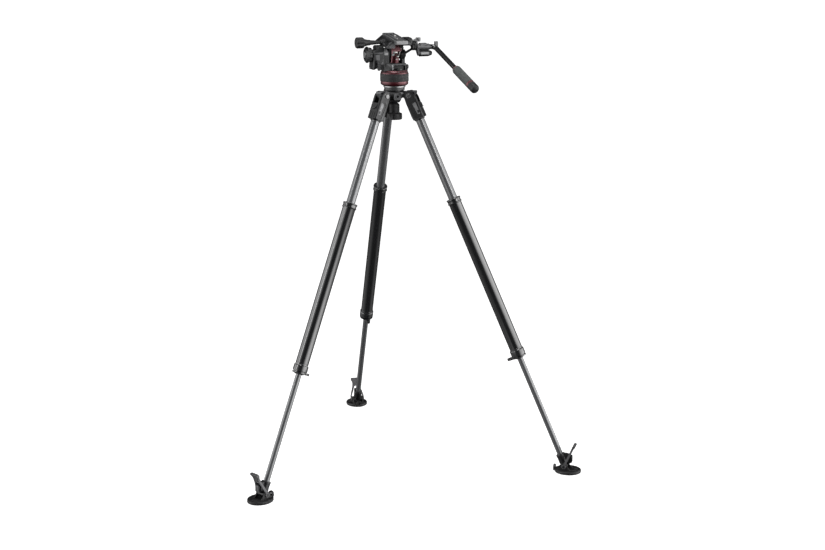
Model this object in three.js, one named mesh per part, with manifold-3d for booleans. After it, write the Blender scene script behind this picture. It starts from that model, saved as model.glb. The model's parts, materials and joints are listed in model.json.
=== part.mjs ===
// A three-leg tripod with a fluid video head.
// Millimetres, +Z up. The operator stands on the -Y side, the lens looks along +Y and the head
// tilts about the X direction. Everything is built around the bowl's upright axis; at the end the
// whole part is moved so that the origin is on the floor under the middle of its bounding box.

import * as THREE from 'three';
import { mergeVertices } from 'three/addons/utils/BufferGeometryUtils.js';
import Module from 'manifold-3d';

const wasm = await Module();
wasm.setup();

// ---------------------------------------------------------------- driving dimensions

const ROUND = 16;                 // sides of a tube or knob
const FINE = 10;                  // sides of a pin or a small hole
const WIDE = 24;                  // sides of the bowl and the drum
const GAP = 0.3;                  // clearance left between resting pieces
const FIT = 0.6;                  // radial clearance of a sliding or turning fit

const LEG_AZIMUTHS = { left: -154.8, right: -34.8, rear: 85.2 };
const SPLAY = 23.75;              // leg angle from the vertical, degrees
const HINGE_RADIUS = 52;
const HINGE_HEIGHT = 1240;

const CROWN = { ball: 1256, rim: 1252, seat: 30.7, shell: 36, radius: 37, opening: 14 };
const LUG = { half: 9.5, top: 1256, reach: 74 };

const KNUCKLE = { inner: -18.5, outer: 21.6, half: 20, head: 16, web: 29.5, end: 81 };
const UPPER_TUBE = { radius: 14.5, bore: 12.5, start: 32.3, end: 600 };
const SLEEVE = { radius: 21.25, collar: 24, start: 363.3, end: 904.4, gland: 15.2 };
const LOWER_COLLAR = { start: 905, end: 936, bore: 10.1, eyelet: 34 };
const LOWER_TUBE = { radius: 9.5, bore: 7.7, start: 760, end: 1300 };
const ANKLE_HEIGHT = 24;          // foot pivot above the floor
const FOOT = { radius: 14, socket: 40, eye: 11 };
const SHOE = { length: 84, width: 74, thickness: 11, forward: 10.7 };
const LEVER_LEAN = 24;            // foot lever angle from the vertical, degrees

const BALL_RADIUS = 30;
const DRUM = { radius: 46.5, ring: 45, bottom: 1272.3, drag: 1286, upper: 1310.3, cap: 1315.3, top: 1322 };
const TILT_AXIS = 1372;
const REST_TILT = 7;              // the camera platform rests with its operator end lower
const PLATE = { length: 140, width: 43, bottom: 45.3, top: 56 };
const UPRIGHT = { inner: 25, left: 42, right: 34.5, half: 21, hub: 14 };
const ARM = { inner: 17.8, outer: 24 };
const PISTON = { bottom: 1343.3, top: 1385, radius: 15, pin: 1393, stroke: 8 };

const BAR_RADIUS = 8;
const BAR_CORNER = new THREE.Vector3(122, -45, 1396);
const BAR_DIRECTION = new THREE.Vector3(0.194, -0.873, -0.446).normalize();
const GRIP = { start: 138, length: 98, radius: 14.5, cap: 32 };
const ROSETTE = { y: -35, z: 1400, radius: 15 };
const WING = { y: -55, z: 1377, radius: 10.5 };

// ---------------------------------------------------------------- finishes

const FINISHES = {
  black: { color: 0x1d1e20, roughness: 0.45, metalness: 0.2 },
  gloss: { color: 0x111214, roughness: 0.2, metalness: 0.2 },
  rubber: { color: 0x202122, roughness: 0.85, metalness: 0 },
  carbon: { color: 0x4a4c4f, roughness: 0.4, metalness: 0.1 },
  red: { color: 0x5e1420, roughness: 0.35, metalness: 0.7 },
  steel: { color: 0xb9b8b4, roughness: 0.3, metalness: 0.9 },
  grip: { color: 0x4d5053, roughness: 0.9, metalness: 0 },
  vial: { color: 0xb8c9a8, roughness: 0.1, metalness: 0 },
};

// ---------------------------------------------------------------- solids from geometry

// A closed solid of a geometry's faces, turned outward if they face in.
function solidOf(geometry) {
  const bare = geometry.index ? geometry.toNonIndexed() : geometry.clone();
  for (const name of Object.keys(bare.attributes)) {
    if (name !== 'position') bare.deleteAttribute(name);
  }
  const merged = mergeVertices(bare, 1e-4);
  const vertices = merged.attributes.position;
  const corner = [new THREE.Vector3(), new THREE.Vector3(), new THREE.Vector3()];
  const triangles = [];
  let volume = 0;
  for (let i = 0; i < merged.index.count; i += 3) {
    const abc = [0, 1, 2].map((k) => merged.index.getX(i + k));
    if (new Set(abc).size < 3) continue;
    abc.forEach((vertex, k) => corner[k].fromBufferAttribute(vertices, vertex));
    volume += corner[0].dot(corner[1].clone().cross(corner[2]));
    triangles.push(abc);
  }
  if (volume < 0) triangles.forEach((abc) => abc.reverse());
  return new wasm.Manifold(new wasm.Mesh({
    numProp: 3,
    vertProperties: new Float32Array(vertices.array),
    triVerts: new Uint32Array(triangles.flat()),
  }));
}

function geometryOf(solid) {
  const mesh = solid.getMesh();
  const geometry = new THREE.BufferGeometry();
  geometry.setAttribute('position', new THREE.BufferAttribute(new Float32Array(mesh.vertProperties), 3));
  geometry.setIndex(new THREE.BufferAttribute(new Uint32Array(mesh.triVerts), 1));
  geometry.computeVertexNormals();
  return geometry;
}

function join(...pieces) {
  return geometryOf(pieces.map(solidOf).reduce((whole, piece) => whole.add(piece)));
}

function cut(body, ...tools) {
  return geometryOf(tools.map(solidOf).reduce((rest, tool) => rest.subtract(tool), solidOf(body)));
}

function common(first, second) {
  return geometryOf(solidOf(first).intersect(solidOf(second)));
}

// Axis frames: an outline's u and v directions and its depth direction, for each depth axis.
const X = new THREE.Vector3(1, 0, 0);
const Y = new THREE.Vector3(0, 1, 0);
const Z = new THREE.Vector3(0, 0, 1);
const FRAMES = { x: [Y, Z, X], y: [X, Z, Y], z: [X, Y, Z] };

// A polygon, each point [u, v] or [u, v, corner radius], extruded along an axis.
function plate(axis, outline, from, to, holes = []) {
  const shape = new THREE.Shape(rounded(outline));
  for (const [u, v, radius] of holes) {
    const hole = new THREE.Path();
    hole.absarc(u, v, radius, 0, Math.PI * 2, true);
    shape.holes.push(hole);
  }
  const options = { depth: to - from, bevelEnabled: false, curveSegments: FINE / 2 };
  const geometry = new THREE.ExtrudeGeometry(shape, options);
  geometry.translate(0, 0, from);
  return geometry.applyMatrix4(new THREE.Matrix4().makeBasis(...FRAMES[axis]));
}

// The outline with each corner that has a radius replaced by a short arc.
function rounded(outline) {
  return outline.flatMap((point, i) => {
    const corner = new THREE.Vector2(point[0], point[1]);
    if (!point[2]) return [corner];
    const before = outline[(i + outline.length - 1) % outline.length];
    const after = outline[(i + 1) % outline.length];
    const back = new THREE.Vector2(before[0], before[1]).sub(corner).normalize();
    const ahead = new THREE.Vector2(after[0], after[1]).sub(corner).normalize();
    const half = Math.acos(THREE.MathUtils.clamp(back.dot(ahead), -1, 1)) / 2;
    const start = corner.clone().addScaledVector(back, point[2] / Math.tan(half));
    const end = corner.clone().addScaledVector(ahead, point[2] / Math.tan(half));
    return new THREE.QuadraticBezierCurve(start, corner, end).getPoints(3);
  });
}

function rectangle(u, v, width, height, corner = 0) {
  const [a, b] = [width / 2, height / 2];
  return [[u - a, v - b, corner], [u + a, v - b, corner], [u + a, v + b, corner], [u - a, v + b, corner]];
}

function box(x, y, z) {
  const geometry = new THREE.BoxGeometry(x[1] - x[0], y[1] - y[0], z[1] - z[0]);
  return geometry.translate((x[0] + x[1]) / 2, (y[0] + y[1]) / 2, (z[0] + z[1]) / 2);
}

// A round rod along an axis at the place (u, v) across it.
function rod(axis, radius, from, to, [u, v] = [0, 0], sides = ROUND) {
  const geometry = new THREE.CylinderGeometry(radius, radius, to - from, sides);
  geometry.rotateX(Math.PI / 2).translate(u, v, (from + to) / 2);
  return geometry.applyMatrix4(new THREE.Matrix4().makeBasis(...FRAMES[axis]));
}

// A profile of [radius, height] points turned about the Z axis.
function turned(profile, sides = ROUND) {
  const points = profile.map(([radius, height]) => new THREE.Vector2(radius, height));
  return new THREE.LatheGeometry(points, sides).rotateX(Math.PI / 2);
}

// The same, turned about the X direction at the place (y, z).
function turnedAlongX(profile, [y, z], sides = ROUND) {
  return turned(profile, sides).rotateY(Math.PI / 2).translate(0, y, z);
}

function ring(bore, radius, from, to, sides = ROUND) {
  return turned([[bore, from], [radius, from], [radius, to], [bore, to], [bore, from]], sides);
}

// A rectangular bar between two points.
function beam(from, to, width, depth) {
  const along = new THREE.Vector3().subVectors(to, from);
  const geometry = new THREE.BoxGeometry(width, depth, along.length());
  geometry.applyQuaternion(new THREE.Quaternion().setFromUnitVectors(Z, along.clone().normalize()));
  const middle = new THREE.Vector3().addVectors(from, to).multiplyScalar(0.5);
  return geometry.translate(middle.x, middle.y, middle.z);
}

// Points on an arc about (0, height), from one polar angle to another, in degrees.
function arc(radius, height, from, to, steps) {
  return Array.from({ length: steps + 1 }, (_, i) => {
    const angle = THREE.MathUtils.degToRad(from + ((to - from) * i) / steps);
    return [radius * Math.cos(angle), height + radius * Math.sin(angle)];
  });
}

function degreesBelow(radius, reach) {
  return -THREE.MathUtils.radToDeg(Math.acos(reach / radius));
}

function add(parent, name, geometry, finish) {
  const material = new THREE.MeshStandardMaterial(FINISHES[finish]);
  const mesh = new THREE.Mesh(geometryOf(solidOf(geometry)), material);
  mesh.name = name;
  parent.add(mesh);
}

function groupAt(parent, x, y, z, axis = 'z', degrees = 0) {
  const group = new THREE.Group();
  group.position.set(x, y, z);
  group.rotation[axis] = THREE.MathUtils.degToRad(degrees);
  parent.add(group);
  return group;
}

// ---------------------------------------------------------------- crown, bowl and clamp

function crown() {
  const { ball, rim, seat, shell, radius, opening } = CROWN;
  const seatTop = degreesBelow(seat, Math.sqrt(seat ** 2 - (ball - rim) ** 2));
  const bowl = turned([
    ...arc(seat, ball, seatTop, degreesBelow(seat, opening), 6),
    ...arc(shell, ball, degreesBelow(shell, opening), degreesBelow(shell, 32.7), 4),
    [radius, 1241],
    [radius, rim],
    [seat * Math.cos(THREE.MathUtils.degToRad(seatTop)), rim],
  ], WIDE);
  const lugOutline = [
    [34, 1231], [42, 1225.5, 2], [58, 1225.5, 4], [68, 1236], [LUG.reach, 1249, 2],
    [LUG.reach, LUG.top, 1], [44, LUG.top], [37.5, rim], [34, rim],
  ];
  const hinge = rod('y', 4.6, -12, 12, [HINGE_RADIUS, HINGE_HEIGHT], FINE);
  const lug = cut(plate('y', lugOutline, -LUG.half, LUG.half), hinge);
  const socket = rod('x', 4.5, 36, 50, [0, 1239], FINE);
  const boss = cut(plate('x', rectangle(0, 1239, 24, 22, 4), 33.5, 43), socket);
  const around = Object.values(LEG_AZIMUTHS).flatMap((azimuth) => {
    const turn = THREE.MathUtils.degToRad(azimuth);
    return [lug.clone().rotateZ(turn), boss.clone().rotateZ(turn + Math.PI / 3)];
  });
  return join(bowl, ...around);
}

function clampWasher() {
  const [inner, edge, hole] = [36.6, 22, 9.5];
  return turned([
    ...arc(inner, CROWN.ball, degreesBelow(inner, hole), degreesBelow(inner, edge), 4),
    [edge, 1224],
    [17, 1216.4],
    [hole, 1216.4],
    [hole, CROWN.ball - Math.sqrt(inner ** 2 - hole ** 2)],
  ], WIDE);
}

function clampHandle() {
  const body = turned([
    [0, 1160], [23, 1160], [25, 1163], [25, 1178], [22, 1181], [16.5, 1182.5],
    [16.5, 1210], [9, 1215], [0, 1215],
  ]);
  const notches = Array.from({ length: 6 }, (_, i) => {
    return rod('z', 6, 1155, 1179, [28, 0], FINE).rotateZ((i * Math.PI) / 3);
  });
  return cut(body, rod('z', 6.6, 1168, 1220), ...notches);
}

function halfBall() {
  const flat = 1236;
  const reach = Math.sqrt(BALL_RADIUS ** 2 - (CROWN.ball - flat) ** 2);
  return turned([
    [0, 1172], [6, 1172], [6, flat],
    ...arc(BALL_RADIUS, CROWN.ball, degreesBelow(BALL_RADIUS, reach), 0, 5),
    [33.5, 1256.6], [33.5, 1266], [0, 1266],
  ], WIDE);
}

// ---------------------------------------------------------------- one leg

// In a leg's own frame the hinge is the origin, the leg runs down -Z and +X faces outward.
function knuckle() {
  const { inner, outer, half, head, web, end } = KNUCKLE;
  const profile = [
    [outer, -end, 2], [outer, -14], ...arc(head, 0, 0, 180, 8),
    [inner, -24], [inner, -end + 6], [-13, -end],
  ];
  const section = rectangle((inner + outer) / 2, 0, outer - inner, 2 * half, 6);
  const body = common(plate('y', profile, -half, half), plate('z', section, -end - 1, head + 1));
  return cut(
    body,
    box([-30, 30], [-LUG.half - 0.7, LUG.half + 0.7], [-web, head + 2]),
    rod('z', UPPER_TUBE.radius + GAP, -end - 2, -UPPER_TUBE.start + GAP),
    rod('y', 4.4, -half - 1, half + 1, [0, 0], FINE),
    box([17, outer + 1], [-3.4, 3.4], [-50, -37]),
  );
}

function hingeBolt() {
  const { half } = KNUCKLE;
  return join(
    rod('y', 4, -half - 1, half + 1, [0, 0], FINE),
    rod('y', 9, -half - 3.2, -half - GAP),
    rod('y', 7.5, half + GAP, half + 2.8, [0, 0], 6),
  );
}

function angleLatch() {
  const face = KNUCKLE.outer + GAP;
  return join(
    plate('x', rectangle(0, -41, 16, 14, 3), face, face + 4.5),
    box([17.3, face + 1], [-3, 3], [-44, -38]),
    box([face + 3, face + 6], [-7, 7], [-47, -45]),
  );
}

function tube({ bore, radius, start, end }) {
  return ring(bore, radius, -end, -start);
}

function lockSleeve() {
  const { radius, collar, start, end, gland } = SLEEVE;
  const wall = radius - 2.25;
  const neck = LOWER_COLLAR.bore + GAP;
  return turned([
    [gland, -start], [collar - 0.8, -start], [collar, -start - 1.5], [collar, -start - 16],
    [radius, -start - 18.5], [radius, -end], [neck, -end], [neck, -end + 14], [wall, -end + 16],
    [wall, -start - 19.5], [gland, -start - 17.5], [gland, -start],
  ]);
}

function lowerCollar() {
  const { start, end, bore, eyelet } = LOWER_COLLAR;
  const lug = plate('z', [[-20, -7], [-20, 7], [-eyelet - 8, 5, 3], [-eyelet - 8, -5, 3]], -end, -end + 9);
  const body = join(
    turned([
      [bore, -end], [22.5, -end], [SLEEVE.collar, -end + 2], [SLEEVE.collar, -start - 2],
      [22.5, -start], [bore, -start], [bore, -end],
    ]),
    lug,
  );
  const eye = rod('z', 3, -end - 1, -end + 10, [-eyelet, 0], FINE);
  return cut(body, eye, rod('z', bore, -end - 1, -start + 1));
}

// ---------------------------------------------------------------- one foot

// In a foot's frame the ankle pin is the origin, +X faces outward and +Z is up.
function footTip() {
  const lean = THREE.MathUtils.degToRad(-SPLAY);
  const socket = cut(
    rod('z', FOOT.radius, 4, FOOT.socket),
    rod('z', LOWER_TUBE.radius + GAP, tubeEndAboveAnkle() - GAP, FOOT.socket + 1),
  ).rotateY(lean);
  const wing = plate('y', [[-6, 30], [-3, 40], [6, 40, 2], [25, 33, 3], [25, 11, 3], [6, 2], [-6, 2]], -7, 7);
  const openSocket = rod('z', LOWER_TUBE.radius + GAP, tubeEndAboveAnkle() - GAP, 70).rotateY(lean);
  return cut(
    join(socket, wing, rod('y', FOOT.eye, -14.5, 14.5), rod('y', 4, -26, 26, [0, 0], FINE)),
    openSocket,
  );
}

function ankleDistance() {
  return (HINGE_HEIGHT - ANKLE_HEIGHT) / Math.cos(THREE.MathUtils.degToRad(SPLAY));
}

function tubeEndAboveAnkle() {
  return ankleDistance() - LOWER_TUBE.end;
}

function shoe() {
  const [base, top] = [-ANKLE_HEIGHT, SHOE.thickness - ANKLE_HEIGHT];
  const oval = (inset, from, to) => {
    const shape = new THREE.Shape();
    shape.absellipse(SHOE.forward, 0, SHOE.length / 2 - inset, SHOE.width / 2 - inset, 0, Math.PI * 2);
    const options = { depth: to - from, bevelEnabled: false, curveSegments: FINE };
    return new THREE.ExtrudeGeometry(shape, options).translate(0, 0, from);
  };
  const cheekOutline = [[-15, top - 1], [18, top - 1], [9.5, 3], [6, 9, 3], [-6, 9, 3], [-9.5, 3]];
  const cheek = (side) => plate('y', cheekOutline, side - 2.5, side + 2.5, [[0, 0, 4.6]]);
  const loop = plate('x', rectangle(0, -8.5, 20, 21, 6), -34, -29, [[0, -6, 4.5]]);
  const ribs = [-12, 12].map((y) => box([24, 45], [y - 1.5, y + 1.5], [top - 1, top + 2.5]));
  return join(
    oval(2, base, base + 3),
    oval(0, base + 3, top - 2),
    oval(2.5, top - 2, top),
    cheek(18),
    cheek(-18),
    loop,
    ...ribs,
  );
}

function shoeLever() {
  const outline = [
    [25, 0], [25, 12], [14.5, 48], [13, 60], [17, 71], [17, 79, 2],
    [-17, 79, 2], [-17, 71], [-13, 60], [-14.5, 48], [-25, 12], [-25, 0],
    [-21.2, 0], [-21.2, 11], [-10.5, 46], [-6, 55], [0, 58], [6, 55], [10.5, 46], [21.2, 11], [21.2, 0],
  ];
  const frame = join(
    plate('x', outline, -3, 3),
    plate('x', rectangle(0, 75, 34, 8, 2), -4, 4),
    rod('y', 8, 21.2, 25),
    rod('y', 8, -25, -21.2),
  );
  return cut(frame, rod('y', 4.5, -30, 30, [0, 0], FINE)).rotateY(THREE.MathUtils.degToRad(LEVER_LEAN));
}

function addLeg(parent, name, azimuth) {
  const around = groupAt(parent, 0, 0, 0, 'z', azimuth);
  const leg = groupAt(around, HINGE_RADIUS, 0, HINGE_HEIGHT, 'y', -SPLAY);
  add(leg, `leg_knuckle_${name}`, knuckle(), 'black');
  add(leg, `hinge_bolt_${name}`, hingeBolt(), 'steel');
  add(leg, `angle_latch_${name}`, angleLatch(), 'black');
  add(leg, `upper_tube_${name}`, tube(UPPER_TUBE), 'carbon');
  add(leg, `lock_sleeve_${name}`, lockSleeve(), 'gloss');
  add(leg, `lower_collar_${name}`, lowerCollar(), 'black');
  add(leg, `lower_tube_${name}`, tube(LOWER_TUBE), 'carbon');
  const reach = HINGE_RADIUS + ankleDistance() * Math.sin(THREE.MathUtils.degToRad(SPLAY));
  const foot = groupAt(around, reach, 0, ANKLE_HEIGHT);
  add(foot, `foot_tip_${name}`, footTip(), 'black');
  add(foot, `shoe_${name}`, shoe(), 'rubber');
  add(foot, `shoe_lever_${name}`, shoeLever(), 'black');
}

// ---------------------------------------------------------------- head, fixed and panning parts

function basePlate() {
  return turned([[0, 1266.3], [36, 1266.3], [36, 1271], [35, 1272], [0, 1272]], WIDE);
}

function lowerRing() {
  const { ring: radius, bottom, drag } = DRUM;
  const top = drag - GAP;
  return turned([[0, bottom], [40, bottom], [radius, bottom + 4], [radius, top], [0, top]], WIDE);
}

function bubbleLevel() {
  const body = turned([[0, 0], [6.5, 0], [6.5, 3.5], [5, 5], [0, 5]], FINE);
  return body.translate(8, -31, DRUM.top + GAP);
}

function dragRing() {
  const { radius, drag, upper } = DRUM;
  const body = ring(36, radius, drag, upper - GAP, WIDE);
  const grooves = Array.from({ length: FINE }, (_, i) => {
    return box([radius - 2, radius + 2], [-2, 2], [drag + 3, upper - 3]).rotateZ((i * 2 * Math.PI) / FINE);
  });
  return cut(body, ...grooves);
}

function panFrame() {
  const { inner, left, right, half, hub } = UPRIGHT;
  const leftUpright = plate('x', [
    [-half - 3, 1320], [half + 3, 1320], [half, 1345],
    ...arc(half, TILT_AXIS, 0, 180, 8),
    [-half, 1345],
  ], -left, -inner);
  const rightUpright = plate('x', [
    [-5, 1320], [half, 1320], [half, 1350],
    ...arc(hub, TILT_AXIS, 0, 225, 8),
    [-5, 1358],
  ], inner, right);
  return cut(
    join(
      turned([
        [0, DRUM.drag + GAP], [33.5, DRUM.drag + GAP], [33.5, DRUM.cap], [44, DRUM.cap],
        [44, 1316], [38, DRUM.top], [0, DRUM.top],
      ], WIDE),
      plate('z', [
        [-left, -half - 2, 4], [right, -half - 2, 6], [right, half + 2, 6], [-left, half + 2, 4],
      ], DRUM.top - 2, 1343),
      leftUpright,
      rightUpright,
    ),
    rod('x', 8.6, -left - 1, -inner + 1, [0, TILT_AXIS]),
    rod('x', 7.6, inner - 1, right + 1, [0, TILT_AXIS]),
    rod('x', 3.5, right - 8, right + 1, [14, 1329], FINE),
  );
}

function sideHousing() {
  const outline = [
    [-22, 1325, 2], [22, 1325, 2], [27, 1345, 4], [26, 1376, 4], [17, 1388, 4],
    [-17, 1388, 4], [-26, 1376, 4], [-27, 1345, 4],
  ];
  const face = -UPRIGHT.left - GAP;
  return cut(
    plate('x', outline, -79, face),
    rod('x', 8.6, -62, face + 1, [0, TILT_AXIS]),
    rod('x', 5.6, -80, -73, [0, TILT_AXIS], FINE),
  );
}

// Two coaxial dials on the housing: the balance dial outside, the tilt drag dial inside.
function balanceDial() {
  return join(
    turnedAlongX([
      [0, -98.5], [19, -98.5], [21.5, -96.5], [24.5, -95], [24.5, -91], [0, -91],
    ], [0, TILT_AXIS]),
    rod('x', 5, -92, -74, [0, TILT_AXIS], FINE),
  );
}

function tiltDragDial() {
  const body = turnedAlongX([
    [5.8, -90.6], [23.5, -90.6], [23.5, -80.5], [21.5, -79.3], [5.8, -79.3], [5.8, -90.6],
  ], [0, TILT_AXIS]);
  const notches = Array.from({ length: 8 }, (_, i) => {
    const angle = (i * Math.PI) / 4;
    return rod('x', 3, -92, -82, [25.5 * Math.cos(angle), TILT_AXIS + 25.5 * Math.sin(angle)], FINE);
  });
  return cut(body, ...notches);
}

function tiltLockLever() {
  const [x, y, z] = [-64, -27.3, 1350];
  return join(
    rod('y', 6.5, y - 9, y, [x, z], FINE),
    plate('y', [[x - 5, z], [x + 5, z], [x + 4, z - 27, 3], [x - 4, z - 27, 3]], y - 9, y - 4),
  );
}

// The cylinder's mouth is slotted so that the rod's cross pin can sink into it.
function pistonCylinder() {
  const { bottom, top, radius, pin, stroke } = PISTON;
  const body = turned([[0, bottom], [radius, bottom], [radius, top - 3], [radius - 2, top], [0, top]]);
  const slot = box([-radius - 1, radius + 1], [-7, 7], [pin - stroke - 7, top + 1]);
  return cut(body, rod('z', 5 + FIT, bottom + 2, top + 1), slot);
}

function pistonRod() {
  const { bottom, pin } = PISTON;
  return join(rod('z', 5, bottom + 12, pin, [0, 0], FINE), rod('x', 6, -6, 6, [0, pin], FINE));
}

function panLockKnob() {
  const face = UPRIGHT.right + GAP;
  return join(
    rod('x', 3, face - 6, face + 3, [14, 1329], FINE),
    rod('x', 7.5, face + 1, 52, [14, 1329], 8),
    plate('y', rectangle(48, 1322, 5, 16, 1), 11.5, 16.5),
  );
}

// ---------------------------------------------------------------- tilting platform

// In the platform's frame the tilt axis is the X axis and +Z is square to the camera plate.
function platform() {
  const section = [
    [-47, 30], [47, 30], [47, 36], [26, 53], [-26, 53], [-47, 36],
  ];
  const channel = [
    [-22.2, 45], [22.2, 45], [22.2, 48.4], [20.6, 54], [-20.6, 54], [-22.2, 48.4],
  ];
  const arm = (from, to) => plate('x', [
    ...arc(16, 0, 180, 360, 8), [20, 22], [20, 31], [-20, 31], [-20, 22],
  ], from, to);
  return cut(
    join(
      plate('y', section, -55, 55),
      arm(-ARM.outer, -ARM.inner),
      arm(ARM.inner, ARM.outer),
      plate('z', rectangle(54, 5, 18, 18, 4), 32, 39),
    ),
    plate('y', channel, -56, 56),
    rod('x', 8.3, -ARM.outer - 1, -ARM.inner + 1),
    rod('x', 7.3, ARM.inner - 1, ARM.outer + 1),
    rod('x', 6, -50, -30, [0, 39.5]),
    rod('z', 3, 31, 40, [54, 5], FINE),
  );
}

function tiltAxleRight() {
  return join(rod('x', 7, ARM.inner, 35.5), rod('x', 10, 35, 37.5));
}

function cameraPlate() {
  const { length, width, bottom, top } = PLATE;
  const half = width / 2;
  const section = [
    [-half, bottom], [half, bottom], [half, 48], [half - 1.6, 52], [half - 1.6, top - 1],
    [half - 2.6, top], [-half + 2.6, top], [-half + 1.6, top - 1], [-half + 1.6, 52], [-half, 48],
  ];
  return cut(
    plate('y', section, -length / 2, length / 2),
    rod('z', 3.7, bottom - 1, top + 1, [0, 0], FINE),
    rod('z', 8.4, bottom - 1, 50),
    plate('z', rectangle(0, 34, 7, 30, 3.4), bottom - 1, top + 1),
  );
}

function cameraScrew() {
  return join(rod('z', 3.1, 46, 61.5, [0, 0], FINE), rod('z', 7.8, 45.6, 49));
}

function plateLockKnob() {
  const height = 39.5;
  const body = turnedAlongX([
    [0, -132], [15, -132], [18, -129], [18, -109], [14, -105], [11, -104],
    [9, -84], [6, -60], [5.4, -47], [5.4, -31], [0, -31],
  ], [0, height]);
  const notches = Array.from({ length: 6 }, (_, i) => {
    const angle = ((i + 0.5) * Math.PI) / 3;
    return rod('x', 3, -134, -112, [19.5 * Math.cos(angle), height + 19.5 * Math.sin(angle)], FINE);
  });
  return cut(body, ...notches);
}

function releaseLever() {
  const outline = [[46, 0, 3], [60, -4], [84, -8, 4], [90, 2, 4], [84, 7, 3], [62, 13, 3], [48, 13, 3]];
  return join(plate('z', outline, 39.4, 45), rod('z', 2.5, 32, 41, [54, 5], FINE));
}

// The strut passes outside the right upright and ends on the platform's right arm.
function rosetteMount() {
  const [y, z] = [-31.3, 32.1];
  const face = 47 + GAP;
  const elbow = new THREE.Vector3(22, -26, 5);
  return join(
    rod('x', ROSETTE.radius, face, 59.7, [y, z]),
    beam(elbow, new THREE.Vector3(52, y, z - 8), 7, 8),
    beam(new THREE.Vector3(21, -19.5, 1), new THREE.Vector3(21, -29, 7), 6, 8),
  );
}

// ---------------------------------------------------------------- pan bar

function barClamp() {
  const lug = (y, z, radius) => rod('x', radius, 60.2, 64.7, [y, z]);
  return cut(
    join(
      lug(ROSETTE.y, ROSETTE.z, ROSETTE.radius - 1),
      lug(WING.y, WING.z, 8),
      plate('x', [[-48, 1404], [-63, 1378], [-50, 1371], [-28, 1392]], 60.2, 64.7),
      rod('x', 10.5, 61, 104, [BAR_CORNER.y, BAR_CORNER.z]),
    ),
    rod('x', BAR_RADIUS + GAP, 80, 105, [BAR_CORNER.y, BAR_CORNER.z]),
    rod('x', 4.4, 60, 66, [WING.y, WING.z], FINE),
  );
}

function clampWing() {
  const { y, z, radius } = WING;
  return join(
    turnedAlongX([
      [0, 65], [radius, 65], [radius, 98], [6, 108], [0, 108],
    ], [y, z]),
    rod('x', 4, 61, 66, [y, z], FINE),
  );
}

function panBar() {
  const bendIn = BAR_CORNER.clone().add(new THREE.Vector3(-14, 0, 0));
  const bendOut = BAR_CORNER.clone().addScaledVector(BAR_DIRECTION, 14);
  const path = new THREE.CurvePath();
  path.add(new THREE.LineCurve3(new THREE.Vector3(80.4, BAR_CORNER.y, BAR_CORNER.z), bendIn));
  path.add(new THREE.QuadraticBezierCurve3(bendIn, BAR_CORNER, bendOut));
  path.add(new THREE.LineCurve3(bendOut, pointOnBar(GRIP.start + GRIP.length - 10)));
  const section = new THREE.Shape();
  section.absarc(0, 0, BAR_RADIUS, 0, Math.PI * 2);
  const bar = new THREE.ExtrudeGeometry(section, { steps: 22, extrudePath: path, curveSegments: 7 });
  const peg = box([121, 131.5], [-52, -42], [1392, 1413]);
  return join(bar, peg);
}

function pointOnBar(distance) {
  return BAR_CORNER.clone().addScaledVector(BAR_DIRECTION, distance);
}

// A turned profile with its axis along the straight of the pan bar, heights from the bar's corner.
function turnedOnBar(profile, sides = ROUND) {
  const geometry = turned(profile, sides);
  geometry.applyQuaternion(new THREE.Quaternion().setFromUnitVectors(Z, BAR_DIRECTION));
  return geometry.translate(BAR_CORNER.x, BAR_CORNER.y, BAR_CORNER.z);
}

function barGrip() {
  const { start, length, radius } = GRIP;
  const end = start + length;
  const bore = BAR_RADIUS + 0.8;
  return turnedOnBar([
    [bore, start], [13, start], [radius, start + 3], [radius, end], [0, end], [0, end - 8],
    [bore, end - 8], [bore, start],
  ]);
}

function gripCap() {
  const start = GRIP.start + GRIP.length + GAP;
  const { radius, cap } = GRIP;
  return turnedOnBar([
    [0, start], [radius, start], [radius, start + cap - 12], [radius - 2.5, start + cap - 4],
    [radius - 6.5, start + cap], [0, start + cap],
  ]);
}

// ---------------------------------------------------------------- assembly

const tripod = new THREE.Group();
tripod.name = 'tripod_with_fluid_head';

add(tripod, 'crown', crown(), 'black');
add(tripod, 'clamp_washer', clampWasher(), 'black');
add(tripod, 'clamp_handle', clampHandle(), 'rubber');
add(tripod, 'half_ball', halfBall(), 'black');
add(tripod, 'base_plate', basePlate(), 'steel');

add(tripod, 'lower_ring', lowerRing(), 'red');
add(tripod, 'pan_drag_ring', dragRing(), 'rubber');
add(tripod, 'upper_ring', ring(33.8, DRUM.ring, DRUM.upper, DRUM.cap - GAP, WIDE), 'red');
add(tripod, 'pan_frame', panFrame(), 'black');
add(tripod, 'bubble_level', bubbleLevel(), 'vial');
add(tripod, 'pan_lock_knob', panLockKnob(), 'black');
add(tripod, 'side_housing', sideHousing(), 'black');
add(tripod, 'balance_dial', balanceDial(), 'rubber');
add(tripod, 'tilt_lock_lever', tiltLockLever(), 'black');
add(tripod, 'tilt_drag_dial', tiltDragDial(), 'rubber');
add(tripod, 'piston_cylinder', pistonCylinder(), 'red');
add(tripod, 'piston_rod', pistonRod(), 'steel');

const tilting = groupAt(tripod, 0, 0, TILT_AXIS, 'x', REST_TILT);
add(tilting, 'tilt_axle_left', rod('x', 8, -60, -ARM.inner), 'steel');
add(tilting, 'tilt_axle_right', tiltAxleRight(), 'steel');
add(tilting, 'platform', platform(), 'black');
add(tilting, 'camera_plate', cameraPlate(), 'black');
add(tilting, 'camera_screw', cameraScrew(), 'steel');
add(tilting, 'plate_lock_knob', plateLockKnob(), 'rubber');
add(tilting, 'release_lever', releaseLever(), 'black');
add(tilting, 'rosette_mount', rosetteMount(), 'black');

add(tripod, 'bar_clamp', barClamp(), 'black');
add(tripod, 'clamp_wing', clampWing(), 'black');
add(tripod, 'pan_bar', panBar(), 'black');
add(tripod, 'bar_grip', barGrip(), 'grip');
add(tripod, 'grip_cap', gripCap(), 'rubber');

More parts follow.
